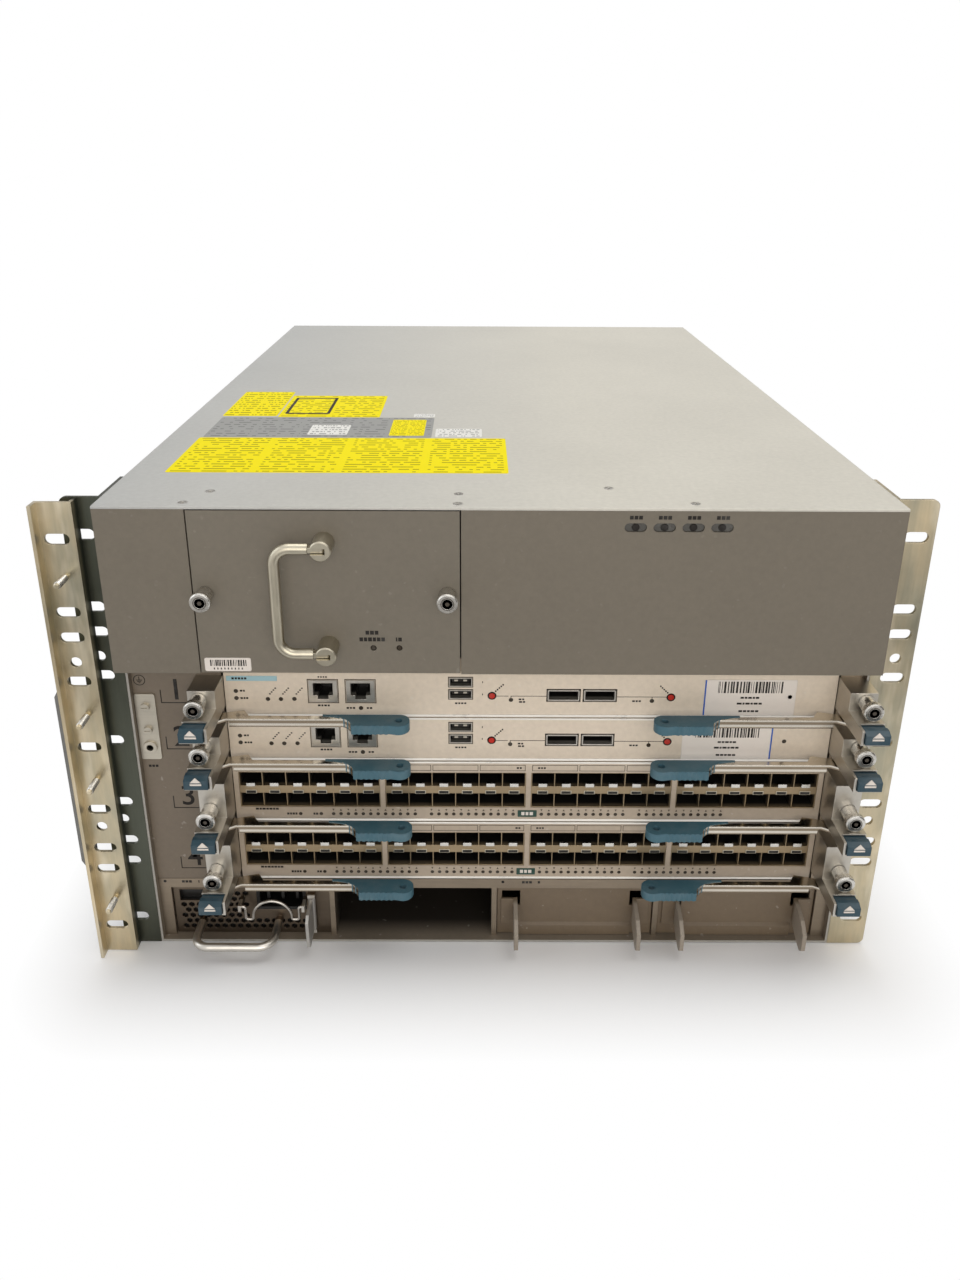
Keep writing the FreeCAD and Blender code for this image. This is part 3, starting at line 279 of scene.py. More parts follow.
def effectMaterial(name, kind, color, metallic=0.0, **values):
    material, tree, shader = startMaterial(name)
    attach(tree, useEffect(tree, kind, color, **values), shader)
    setInputs(shader, Metallic=metallic)
    return material


def paintMaterial(name, color, **values):
    return effectMaterial(name, "paint", color, **values)


def metalMaterial(name, color, metallic=1.0, **values):
    return effectMaterial(name, "metal", color, metallic, **values)


def plasticMaterial(name, color, **values):
    return effectMaterial(name, "plastic", color, **values)


def axisValue(tree, axis):  # place along X, Y or Z, in millimetres
    return times(tree, splitPlace(tree, objectPlace(tree))[axis], 1000.0)


def mixLook(tree, factor, first, second):  # mixes two plain colours, or a socket and a plain colour
    return mixColor(tree, factor, *((*color, 1) if isinstance(color, tuple) else color for color in (first, second)))


def coverPaint():  # cool grey paint with long scuffs and pale rubbed streaks, and painted shade that darkens and cools its left side
    look = {"color": (0.59, 0.565, 0.50), "shadedSide": (0.42, 0.425, 0.42), "scuff": (0.70, 0.68, 0.63),
            "shadeTo": 60.0, "scuffWidth": 0.005, "scuffAmount": 0.35}
    material, tree, shader = startMaterial("coverPaint")
    place = objectPlace(tree)
    # painted shade: the cover turns darker and cooler towards its left edge
    side = ramp(tree, axisValue(tree, 0), coverLow.x, look["shadeTo"], 1.0, 0.0)
    tint = mixLook(tree, times(tree, side, 0.9), look["color"], look["shadedSide"])
    scuff = distanceFrom(tree, noise(tree, stretch(tree, place, (9.0, 26.0, 1.0)), 1.0, 7.0, 0.72, 1.4), 0.5)
    scuff = ramp(tree, scuff, 0.0, look["scuffWidth"], look["scuffAmount"], 0.0)
    patch = ramp(tree, noise(tree, place, 5.0, 3.0), 0.50, 0.68)
    tint = mixLook(tree, times(tree, scuff, patch), tint, look["scuff"])
    attach(tree, useEffect(tree, "paint", tint, Blotch=0.10, Roughness=0.50, Specks=0.35), shader)
    return material


def leverMetal():  # bare steel arm with painted shade in brown bands across it; past the bar's root the moulded grip is dark blue
    look = {"steel": (0.60, 0.555, 0.48), "shadeBrown": (0.25, 0.20, 0.145), "grip": (0.045, 0.125, 0.165), "start": 59.8,
            "flare": 18.0, "tail": 0.995, "inner": 183.5, "valley": -0.9, "throat": 10.4, "shadeBandFrom": (0.40, 0.48),
            "shadeBandTo": (0.72, 0.80), "foot": (0.10, 0.20)}
    material, tree, shader = startMaterial("leverSteel")
    level = splitPlace(tree, addNode(tree, "ShaderNodeTexCoord").outputs["Generated"])[2]
    # painted shade: brown bands across the middle and the foot of the arm, between bright steel lines
    middle = times(tree, ramp(tree, level, *look["shadeBandFrom"]), ramp(tree, level, *look["shadeBandTo"], 1.0, 0.0))
    paintedShade = larger(tree, middle, ramp(tree, level, *look["foot"], 1.0, 0.0))
    tint = mixLook(tree, paintedShade, look["steel"], look["shadeBrown"])
    metal = useEffect(tree, "metal", tint, Streak=(30.0, 900.0, 900.0), Roughness=0.2, Smudge=0.5)
    grip = useEffect(tree, "plastic", look["grip"], Roughness=0.42, Dust=0.12)
    along = minus(tree, look["inner"] - look["start"], distanceFrom(tree, axisValue(tree, 0), moduleMiddle))
    turn = mathNode(tree, "DIVIDE", along, look["flare"])
    rest = minus(tree, 1.0, times(tree, turn, turn), True)
    curve = times(tree, mathNode(tree, "SQRT", rest), look["throat"])
    curve = plus(tree, curve, bezelFace + look["valley"])
    behindCurve = isOver(tree, axisValue(tree, 1), curve)
    pastTail = isOver(tree, turn, look["tail"])
    mask = times(tree, isOver(tree, along, 0.0), larger(tree, behindCurve, pastTail))
    wire(tree, mixColor(tree, mask, metal.outputs["Color"], grip.outputs["Color"]), shader.inputs["Base Color"])
    for name, kind, first, result in (("Roughness", "FLOAT", 2, 0), ("Normal", "VECTOR", 4, 1)):
        mix = addNode(tree, "ShaderNodeMix", data_type=kind)
        wire(tree, mask, mix.inputs[0])
        wire(tree, metal.outputs[name], mix.inputs[first])
        wire(tree, grip.outputs[name], mix.inputs[first + 1])
        wire(tree, mix.outputs[result], shader.inputs[name])
    wire(tree, minus(tree, 1.0, mask), shader.inputs["Metallic"])
    return material


def zincPlate():  # yellow-passivated zinc: gold and green clouds with pale edges
    look = {"gold": (0.62, 0.515, 0.34), "green": (0.36, 0.345, 0.265), "pale": (0.88, 0.79, 0.62),
            "shade": (0.085, 0.09, 0.07), "cloudScale": (30.0, 30.0, 9.0), "paleScale": (60.0, 60.0, 14.0),
            "deepFrom": 10.2, "deepTo": 13.0}
    material, tree, shader = startMaterial("earZinc")
    place = objectPlace(tree)
    cloud = ramp(tree, noise(tree, stretch(tree, place, look["cloudScale"]), 1.0, 4.0, 0.6), 0.35, 0.65)
    pale = ramp(tree, noise(tree, stretch(tree, place, look["paleScale"]), 1.0, 3.0, 0.6), 0.5, 0.72)
    tint = mixLook(tree, cloud, look["gold"], look["green"])
    tint = mixLook(tree, times(tree, pale, 0.7), tint, look["pale"])
    # painted shade: the left ear behind the stud bracket turns nearly black
    behind = ramp(tree, axisValue(tree, 1), bezelFace + look["deepFrom"], bezelFace + look["deepTo"])
    behind = times(tree, behind, isUnder(tree, axisValue(tree, 0), 0.0))
    tint = mixLook(tree, behind, tint, look["shade"])
    attach(tree, useEffect(tree, "metal", tint, Streak=(700.0, 700.0, 30.0), Roughness=0.34, Smudge=0.35), shader)
    setInputs(shader, Metallic=0.92)
    return material


def cagePorts(name, frontColor):  # bright at the front, nearly black a short way in with painted shade; the board is green
    look = {"inside": (0.012, 0.011, 0.010), "board": (0.015, 0.07, 0.035), "darkFrom": 0.6, "darkTo": 4.4,
            "boardFrom": 60.0}
    material, tree, shader = startMaterial(name)
    depth = minus(tree, axisValue(tree, 1), moduleFace)
    metal = useEffect(tree, "metal", frontColor, Streak=(40.0, 900.0, 900.0), Roughness=0.36, Smudge=0.5)
    inside = ramp(tree, depth, look["darkFrom"], look["darkTo"])
    shade = mixLook(tree, inside, metal.outputs["Color"], look["inside"])
    shade = mixLook(tree, isOver(tree, depth, look["boardFrom"]), shade, look["board"])
    wire(tree, shade, shader.inputs["Base Color"])
    attach(tree, metal, shader, ("Roughness", "Normal"))
    wire(tree, minus(tree, 0.9, inside, True), shader.inputs["Metallic"])
    return material


def supplySteel():  # satin sheet with a bright handle and a black inlet; its dark brown tone is a painted reflection of a brown floor, and the dark depths behind the vents are painted shade
    look = {"steel": (0.150, 0.118, 0.088), "bright": (0.58, 0.55, 0.50), "black": (0.008, 0.007, 0.006),
            "faceBack": 27.6, "handleBefore": -3.4, "ventDark": (0.8, 1.6), "inletFrom": -0.3,
            "inletX": (54.05, 86.45), "inletZ": (20.55, 37.45)}
    material, tree, shader = startMaterial("supplySteel")
    depth = minus(tree, axisValue(tree, 1), supplyLow.y + look["faceBack"])
    tint = mixLook(tree, isUnder(tree, depth, look["handleBefore"]), look["steel"], look["bright"])
    metal = useEffect(tree, "metal", tint, Streak=(60.0, 500.0, 500.0), Roughness=0.33, Smudge=0.4)
    # painted shade: the vents turn black a little way behind the face
    deep = ramp(tree, depth, *look["ventDark"])
    inlet = isOver(tree, depth, look["inletFrom"])
    across = minus(tree, axisValue(tree, 0), supplyLow.x)
    for value, (start, stop) in ((across, look["inletX"]), (axisValue(tree, 2), look["inletZ"])):
        inlet = times(tree, inlet, times(tree, isOver(tree, value, start), isUnder(tree, value, stop)))
    dark = larger(tree, inlet, deep)
    wire(tree, mixLook(tree, dark, metal.outputs["Color"], look["black"]), shader.inputs["Base Color"])
    attach(tree, metal, shader, ("Roughness", "Normal"))
    wire(tree, minus(tree, 1.0, dark), shader.inputs["Metallic"])
    return material


def shellPaint():  # grey outside; dark inside, where the bays and the cage lie in shadow
    look = {"outside": (0.36, 0.345, 0.31), "inside": (0.022, 0.018, 0.014), "lip": (0.20, 0.165, 0.125),
            "wall": 1.45, "deep": 14.0}
    material, tree, shader = startMaterial("shellPaint")
    width = isUnder(tree, mathNode(tree, "ABSOLUTE", axisValue(tree, 0)), coverHigh.x - look["wall"])
    above = isOver(tree, axisValue(tree, 2), look["wall"])
    before = isUnder(tree, axisValue(tree, 1), coverHigh.y - look["wall"])
    depth = ramp(tree, minus(tree, axisValue(tree, 1), moduleFace), 0.0, look["deep"])
    dark = mixLook(tree, depth, look["lip"], look["inside"])
    tint = mixLook(tree, times(tree, times(tree, width, above), before), look["outside"], dark)
    attach(tree, useEffect(tree, "paint", tint, Blotch=0.12, Roughness=0.5), shader)
    return material


def twoTonePaint(name, look, axis, blotch, roughness):  # one paint that changes tone along an axis
    material, tree, shader = startMaterial(name)
    tone = ramp(tree, axisValue(tree, axis), look["from"], look["to"])
    tint = mixLook(tree, tone, look["first"], look["second"])
    attach(tree, useEffect(tree, "paint", tint, Blotch=blotch, Roughness=roughness), shader)
    return material


def faceplatePaint():  # cream, a little darker on the lower modules, which is painted shade
    look = {"first": (0.42, 0.345, 0.265), "second": (0.69, 0.595, 0.48), "from": 118.0, "to": 150.0}
    return twoTonePaint("faceplatePaint", look, 2, 0.08, 0.42)


def blankPaint():  # brown faces, their brown a painted reflection of a brown floor; the tabs in front of them are paler
    look = {"first": (0.30, 0.255, 0.205), "second": (0.160, 0.118, 0.076), "from": bezelFace + 17.2,
            "to": bezelFace + 20.2}
    return twoTonePaint("blankPaint", look, 1, 0.14, 0.45)


def deepSteel(name):  # bright at the front edges and darker farther in, painted shade
    look = {"front": (0.27, 0.22, 0.165), "inside": (0.022, 0.018, 0.014), "start": 1.5, "end": 14.0}
    material, tree, shader = startMaterial(name)
    depth = minus(tree, axisValue(tree, 1), moduleFace)
    tint = mixLook(tree, ramp(tree, depth, look["start"], look["end"]), look["front"], look["inside"])
    attach(tree, useEffect(tree, "metal", tint, Streak=(60.0, 500.0, 500.0), Roughness=0.42, Smudge=0.5), shader)
    wire(tree, ramp(tree, depth, look["start"], look["end"], 0.85, 0.3), shader.inputs["Metallic"])
    return material


def lensClear():
    material = plasticMaterial("lightLens", (0.045, 0.040, 0.030), Roughness=0.2, Dust=0.2)
    setInputs(material.node_tree.nodes["Principled BSDF"], **{"Coat Weight": 0.6})
    return material


slotLooks = {
    "cover_paint": coverPaint(),
    "shell_steel": shellPaint(),
    "bezel_paint": paintMaterial("bezelPaint", (0.163, 0.140, 0.106), Blotch=0.06, Roughness=0.52, Specks=0.1),
    "tray_steel": paintMaterial("trayPaint", (0.168, 0.146, 0.112), Blotch=0.08, Roughness=0.52, Specks=0.15),
    "screw_steel": metalMaterial("screwSteel", (0.62, 0.60, 0.56), Roughness=0.28, Smudge=0.5),
    "light_lens": lensClear(),
    "cage_steel": deepSteel("cageSteel"),
    "panel_steel": paintMaterial("panelPaint", (0.170, 0.135, 0.098), Blotch=0.12, Roughness=0.5),
    "earth_metal": metalMaterial("earthMetal", (0.50, 0.46, 0.385), Roughness=0.42, Smudge=0.6),
    "circuit_board": plasticMaterial("circuitBoard", (0.015, 0.07, 0.035), Roughness=0.4),
    "fan_plastic": plasticMaterial("fanPlastic", (0.02, 0.02, 0.02), Roughness=0.5),
    "rotor_plastic": plasticMaterial("rotorPlastic", (0.03, 0.03, 0.032), Roughness=0.45),
    "handle_nickel": metalMaterial("handleNickel", (0.47, 0.43, 0.34), Streak=(400.0, 400.0, 60.0), Roughness=0.36,
                                   Smudge=0.35),
    "ear_zinc": zincPlate(),
    "guard_plastic": plasticMaterial("guardPlastic", (0.16, 0.16, 0.155), Roughness=0.5),
    "supply_steel": supplySteel(),
    "bail_wire": metalMaterial("bailWire", (0.46, 0.43, 0.39), Roughness=0.25, Smudge=0.4),
    "latch_plastic": metalMaterial("latchSteel", (0.42, 0.405, 0.38), metallic=0.6, Roughness=0.45, Smudge=0.4),
    "blank_steel": blankPaint(),
    "faceplate_paint": faceplatePaint(),
    "bracket_steel": metalMaterial("bracketSteel", (0.50, 0.47, 0.42), Streak=(300.0, 40.0, 300.0), Roughness=0.36,
                                   Smudge=0.25),
    "thumbscrew_steel": metalMaterial("thumbscrewSteel", (0.62, 0.60, 0.56), Roughness=0.27, Smudge=0.5),
    "port_metal": cagePorts("portMetal", (0.50, 0.47, 0.42)),
    "port_brass": cagePorts("portBrass", (0.31, 0.235, 0.145)),
    "button_plastic": plasticMaterial("buttonPlastic", (0.012, 0.046, 0.068), Roughness=0.38, Dust=0.1),
    "lever_steel": leverMetal(),
}

nodeSlot = {part["node"]: part["material_slot"] for part in frame["record"]["subparts"]}
for nodeName, nodeObject in frame["nodes"].items():
    nodeObject.data.materials.clear()
    nodeObject.data.materials.append(slotLooks[nodeSlot[nodeName]])
print("frame materials assigned")


def finishPiece(name, mesh, material, body):
    piece = bpy.data.objects.new(name, mesh)
    scene.collection.objects.link(piece)
    mesh.materials.append(material)
    for face in mesh.polygons:
        face.use_smooth = False
    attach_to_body(piece, body)
    return piece


def meshPiece(name, points, faces, material, body):  # points in millimetres
    mesh = bpy.data.meshes.new(name)
    mesh.from_pydata([tuple(value / 1000 for value in point) for point in points], [], faces)
    return finishPiece(name, mesh, material, body)


def blocks(name, boxes, material, body):  # one mesh from many boxes, each (x0, x1, y0, y1, z0, z1)
    corners = [(0, 0, 0), (1, 0, 0), (1, 1, 0), (0, 1, 0), (0, 0, 1), (1, 0, 1), (1, 1, 1), (0, 1, 1)]
    sides = [(0, 3, 2, 1), (4, 5, 6, 7), (0, 1, 5, 4), (1, 2, 6, 5), (2, 3, 7, 6), (3, 0, 4, 7)]
    points = []
    faces = []
    for item in boxes:
        first = len(points)
        points += [[item[2 * axis + corner[axis]] for axis in range(3)] for corner in corners]
        faces += [[first + index for index in side] for side in sides]
    return meshPiece(name, points, faces, material, body)


def printed(x0, x1, z0, z1, face, proud=0.06):  # a thin print on a face that looks forward
    return (x0, x1, face - proud, face + 0.02, z0, z1)


def faceMark(x, z, width, height, face, proud=0.06):  # the same, given by its middle and size
    return printed(x - width / 2, x + width / 2, z - height / 2, z + height / 2, face, proud)


def printedFrame(x0, x1, z0, z1, line, face, proud=0.06):
    return [printed(*side, face, proud) for side in ((x0, x1, z0, z0 + line), (x0, x1, z1 - line, z1),
                                                     (x0, x0 + line, z0, z1), (x1 - line, x1, z0, z1))]


def platesMesh(name, outlines, face, proud, material, body):  # thin plates from anticlockwise (x, z) outlines
    points = []
    faces = []
    for outline in outlines:
        first = len(points)
        count = len(outline)
        points += [(x, face - proud, z) for x, z in outline] + [(x, face + 0.02, z) for x, z in outline]
        faces.append([first + i for i in range(count)])
        faces.append([first + count + i for i in reversed(range(count))])
        for i in range(count):
            j = (i + 1) % count
            faces.append((first + i, first + count + i, first + count + j, first + j))
    return meshPiece(name, points, faces, material, body)


def ringFaces(count):  # quads between an outer and an inner loop of the same count
    return [(i, (i + 1) % count, count + (i + 1) % count, count + i) for i in range(count)]


def disc(x, z, radius, sides=20):
    turns = [2 * math.pi * i / sides for i in range(sides)]
    return [(x + radius * math.cos(turn), z + radius * math.sin(turn)) for turn in turns]


def roundedOutline(x0, x1, z0, z1, radius, steps=5):
    points = []
    for cx, cz, start in ((x1 - radius, z0 + radius, -90), (x1 - radius, z1 - radius, 0),
                          (x0 + radius, z1 - radius, 90), (x0 + radius, z0 + radius, 180)):
        for step in range(steps + 1):
            angle = math.radians(start + 90 * step / steps)
            points.append((cx + radius * math.cos(angle), cz + radius * math.sin(angle)))
    return points


def lathe(name, profile, centers, material, body, sides=28, ripple=0.0):
    points = []  # turned about lines along Y: the profile is (radius, y) and centers are (x, z)
    faces = []
    for cx, cz in centers:
        first = len(points)
        for radius, y in profile:
            for side in range(sides):
                angle = 2 * math.pi * side / sides
                r = radius + (ripple if side % 2 and radius > 0.2 else 0.0)
                points.append((cx + r * math.cos(angle), y, cz + r * math.sin(angle)))
        for ring in range(len(profile) - 1):
            for side in range(sides):
                a = first + ring * sides + side
                b = first + ring * sides + (side + 1) % sides
                faces.append((a, b, b + sides, a + sides))
        last = first + (len(profile) - 1) * sides
        faces.append([first + side for side in reversed(range(sides))])
        faces.append([last + side for side in range(sides)])
    return meshPiece(name, points, faces, material, body)


def inkMaterial(name, color, roughness=0.5):
    material = plasticMaterial(name, color, Roughness=roughness, Dust=0.12)
    setInputs(material.node_tree.nodes["Principled BSDF"], **{"Specular IOR Level": 0.12})
    return material


inkDark = inkMaterial("inkDark", (0.025, 0.022, 0.020))
# brown for print, also used as painted shade in the screw heads' groove and socket
printAndShadeBrown = inkMaterial("printAndShadeBrown", (0.075, 0.062, 0.048))
inkWhite = inkMaterial("inkWhite", (0.76, 0.70, 0.64))
inkBlue = inkMaterial("inkBlue", (0.03, 0.12, 0.50))
lensDark = inkMaterial("lensDark", (0.045, 0.035, 0.025), 0.2)


def stickerMaterial(name, look):  # paper with rows of dashes that run along X
    material, tree, shader = startMaterial(name)
    place = splitPlace(tree, addNode(tree, "ShaderNodeTexCoord").outputs["Generated"])
    across, down = place[0], times(tree, place[1], float(look["rows"]))
    band = distanceFrom(tree, mathNode(tree, "FRACT", down, 0.0), 0.5)
    band = isUnder(tree, band, look["lineHeight"] / 2)
    cells = addNode(tree, "ShaderNodeCombineXYZ")
    wire(tree, mathNode(tree, "FLOOR", times(tree, across, float(look["dashes"])), 0.0), cells.inputs[0])
    wire(tree, mathNode(tree, "FLOOR", down, 0.0), cells.inputs[1])
    white = addNode(tree, "ShaderNodeTexWhiteNoise")
    wire(tree, cells.outputs[0], white.inputs["Vector"])
    filled = isUnder(tree, white.outputs["Value"], look["coverage"])
    column = mathNode(tree, "FRACT", times(tree, across, float(look["columns"])), 0.0)
    gutter = times(tree, isOver(tree, column, 0.05), isUnder(tree, column, 0.95))
    mask = times(tree, times(tree, times(tree, band, filled), gutter), look["strength"])
    cloud = noise(tree, objectPlace(tree), 60.0, 3.0)
    paper = mixLook(tree, ramp(tree, cloud, 0.4, 0.8, 0.0, 0.25), look["paper"], look["stain"])
    wire(tree, mixLook(tree, mask, paper, look["ink"]), shader.inputs["Base Color"])
    setInputs(shader, Roughness=0.5, **{"Specular IOR Level": 0.04})
    wire(tree, bump(tree, cloud, 0.05, 0.0002), shader.inputs["Normal"])
    return material


def topSheet(name, place, material, lift):
    outline = roundedOutline(*place, 1.6)
    points = [(x, y, coverHigh.z + z) for z in (lift, -0.01) for x, y in outline]
    count = len(outline)
    faces = [list(range(count)), list(reversed(range(count, 2 * count)))]
    faces += [(i, count + i, count + (i + 1) % count, (i + 1) % count) for i in range(count)]
    return meshPiece(name, points, faces, material, "chassis")


def coverStickers():  # plain coloured stickers in the places and sizes of the real ones
    yellow = {"paper": (0.89, 0.76, 0.006), "stain": (0.82, 0.69, 0.01), "ink": (0.20, 0.15, 0.002), "rows": 16,
              "columns": 4, "dashes": 96, "coverage": 0.6, "lineHeight": 0.32, "strength": 0.75}
    grey = {"paper": (0.33, 0.33, 0.32), "stain": (0.40, 0.40, 0.38), "ink": (0.10, 0.10, 0.10), "rows": 9,
            "columns": 5, "dashes": 70, "coverage": 0.5, "lineHeight": 0.3, "strength": 0.6}
    paper = {"paper": (0.78, 0.77, 0.74), "stain": (0.68, 0.67, 0.63), "ink": (0.08, 0.08, 0.08), "rows": 5,
             "columns": 1, "dashes": 34, "coverage": 0.5, "lineHeight": 0.4, "strength": 0.7}
    papers = {"yellowSheet": yellow, "yellowSmall": dict(yellow, rows=12, columns=2, dashes=36), "greySheet": grey,
              "whiteSheet": paper}
    papers = {name: stickerMaterial(name, look) for name, look in papers.items()}
    for name, place, sheet, lift in (("Wide", (-198.2, 6.0, -244.6, -167.6), "yellowSheet", 0.12),
                                     ("Grey", (-196.5, -43.6, -166.2, -113.0), "greySheet", 0.12),
                                     ("GreySquare", (-72.6, -48.9, -161.8, -119.0), "yellowSmall", 0.2),
                                     ("GreyField", (-128.0, -101.0, -160.0, -134.0), "whiteSheet", 0.2),
                                     ("Narrow", (-197.6, -158.4, -109.2, -31.4), "yellowSmall", 0.12),
                                     ("Upper", (-157.2, -83.4, -111.8, -44.0), "yellowSmall", 0.12),
                                     ("White", (-41.2, -9.6, -163.8, -143.0), "whiteSheet", 0.12),
                                     ("Tag", (-58.8, -43.6, -111.0, -101.2), "whiteSheet", 0.12)):
        topSheet("coverSticker" + name, place, papers[sheet], lift)
    border = roundedOutline(-153.6, -121.0, -102.6, -51.6, 1.0)
    loops = border + roundedOutline(-151.4, -123.2, -100.0, -54.2, 0.8)
    meshPiece("coverStickerBorder", [(x, y, coverHigh.z + 0.2) for x, y in loops], ringFaces(len(border)), inkDark,
              "chassis")


coverStickers()
print("cover stickers made")


def unevenBars(x, stop, state, widths, gaps, divisor):  # generic bars between x and stop, as (x, width)
    bars = []
    while x < stop:
        state = (state * 73 + 41) % 997
        width = widths[0] + state % widths[2] * widths[1]
        bars.append((x, width))
        x += width + gaps[0] + state // divisor % gaps[2] * gaps[1]
    return bars


def barTag(name, x0, x1, z0, z1, face, body):  # a white tag with upright bars of uneven width
    look = {"margin": 0.12, "bars": 26, "seed": 3, "barLevel": 0.62, "barHeight": 0.46, "dots": 9, "dotFirst": 0.2,
            "dotPitch": 0.075, "dotLevel": 0.2, "dotHeight": 0.14, "proud": 0.16}
    width, height = x1 - x0, z1 - z0
    platesMesh(name, [roundedOutline(x0, x1, z0, z1, 1.2)], face, 0.12, inkWhite, body)
    start, stop = x0 + width * look["margin"], x1 - width * look["margin"]
    step = (stop - start) / (look["bars"] * 1.5)
    bars = unevenBars(start, stop, look["seed"], (step * 0.5, step * 0.5, 3), (step * 0.5, step * 0.6, 2), 7)
    level, tall = z0 + height * look["barLevel"], height * look["barHeight"]
    marks = [faceMark(x + bar / 2, level, bar, tall, face, look["proud"]) for x, bar in bars]
    level, tall = z0 + height * look["dotLevel"], height * look["dotHeight"]
    for index in range(look["dots"]):
        x = x0 + width * (look["dotFirst"] + look["dotPitch"] * index)
        marks.append(faceMark(x, level, step * 1.2, tall, face, look["proud"]))
    blocks(name + "Bars", marks, inkDark, body)


def dashRow(x, z, widths, height, face, gap=0.5):  # a short row of generic blocks in place of small print
    left = x - (sum(widths) + gap * (len(widths) - 1)) / 2
    marks = []
    for width in widths:
        marks.append(printed(left, left + width, z - height / 2, z + height / 2, face))
        left += width + gap
    return marks


def fanSectionMarks():
    look = {"tagLeft": 2.2, "tagWidth": 26.4, "tagFoot": 0.9, "tagHeight": 8.6, "windowFirst": 72.9,
            "windowPitch": 15.6, "windowMarks": 304.6, "lampLevel": 225.6, "lamps": (24.8, 39.4)}
    marks = []
    for index in range(4):
        x = look["windowFirst"] + index * look["windowPitch"]
        marks += dashRow(x, look["windowMarks"], (2.0, 2.0, 2.0), 2.1, bezelFace)
    blocks("bezelMarks", marks, inkDark, "chassis")
    low, high = boxMm("status_lights")
    lights = [((low.x + high.x) / 2 + (index - 1.5) * look["windowPitch"], (low.z + high.z) / 2) for index in range(4)]
    lathe("statusLamps", [(2.1, low.y + 0.02), (2.0, low.y - 0.05), (0.4, low.y - 0.12)], lights, inkDark, "chassis",
          20)
    middle = (trayLow.x + trayHigh.x) / 2
    marks = []
    for x, z, widths in ((24.2, 235.2, (2.0, 2.2, 2.0)), (24.2, 231.0, (2.0, 1.8, 2.2, 1.8, 2.0, 2.0)),
                         (39.2, 231.0, (0.8, 2.0))):
        marks += dashRow(middle + x, z, widths, 2.4, bezelFace)
    blocks("trayMarks", marks, inkDark, "fan_tray")
    lamps = [(middle + x, look["lampLevel"]) for x in look["lamps"]]
    lathe("trayLamps", [(1.5, bezelFace + 0.35), (1.2, bezelFace + 0.1), (0.5, bezelFace - 0.02)], lamps, lensDark,
          "fan_tray", 16)
    left, foot = trayLow.x + look["tagLeft"], trayLow.z + look["tagFoot"]
    barTag("traySticker", left, left + look["tagWidth"], foot, foot + look["tagHeight"], bezelFace, "fan_tray")


fanSectionMarks()
print("fan section marks made")


def numberPiece(name, text, x, z, height, face, body, material):  # a plain numeral as a thin mesh
    curve = bpy.data.curves.new(name + "Curve", "FONT")
    curve.body = text
    curve.size = height / 1000 * 1.38
    curve.align_x = "CENTER"
    curve.align_y = "CENTER"
    curve.extrude = 0.00004
    curve.offset = 0.0001
    holder = bpy.data.objects.new(name + "Holder", curve)
    scene.collection.objects.link(holder)
    holder.rotation_euler = (math.pi / 2, 0, 0)
    holder.location = (x / 1000, (face - 0.03) / 1000, z / 1000)
    bpy.context.view_layer.update()
    mesh = bpy.data.meshes.new_from_object(holder.evaluated_get(bpy.context.evaluated_depsgraph_get()))
    mesh.transform(holder.matrix_world)
    mesh.materials.clear()
    bpy.data.objects.remove(holder)
    return finishPiece(name, mesh, material, body)


def slotPanelMarks():  # slot numbers with their corner lines, the earth symbol and small marks
    look = {"numberX": -192.3, "levels": (186.0, 153.5, 110.5, 64.0), "height": 14.6, "lineLeft": 9.7,
            "lineDrop": 8.6, "line": 0.6, "lineHeight": 9.0, "symbolLevel": 193.0,
            "symbolBars": ((1.2, 0.45, 2.4), (0.0, 3.6, 0.45), (-0.9, 2.4, 0.45), (-1.8, 1.1, 0.45)),
            "bayLevel": 44.8, "bays": ((-199.8, 7.8, 0.7), (20.6, 7.8, 1.4)), "dots": (-213.9, 5.0)}
    face = moduleFace
    lines = []
    for index, level in enumerate(look["levels"], 1):
        numberPiece("slotNumber%d" % index, str(index), look["numberX"], level, look["height"], face, "chassis",
                    inkDark)
        left = look["numberX"] - look["lineLeft"]
        foot = level - look["lineDrop"]
        lines.append(printed(left, left + look["line"], foot, foot + look["lineHeight"], face))
        lines.append(printed(left, panelHigh.x - 1.0, foot, foot + look["line"], face))
    blocks("slotLines", lines, inkDark, "chassis")
    middle = (earthLow.x + earthHigh.x) / 2
    x, z = middle - 2.0, look["symbolLevel"]
    loops = disc(x, z, 3.6, 28) + disc(x, z, 3.1, 28)
    meshPiece("earthRing", [(a, face - 0.05, b) for a, b in loops], ringFaces(28), inkDark, "chassis")
    marks = [faceMark(x, z + rise, width, height, face) for rise, width, height in look["symbolBars"]]
    marks += dashRow(middle, 133.0, (1.6, 1.6, 1.6), 1.6, face)
    for left, step, width in look["bays"]:
        marks += dashRow(left, look["bayLevel"], (1.8, 1.8, 1.8), 1.8, face)
        marks.append(faceMark(left + step, look["bayLevel"], width, 1.8, face))
    blocks("panelMarks", marks, inkDark, "chassis")
    platesMesh("bayDots", [disc(x, 45.0, 1.0, 14) for x in look["dots"]], face, 0.06, inkDark, "chassis")


slotPanelMarks()
print("slot panel marks made")


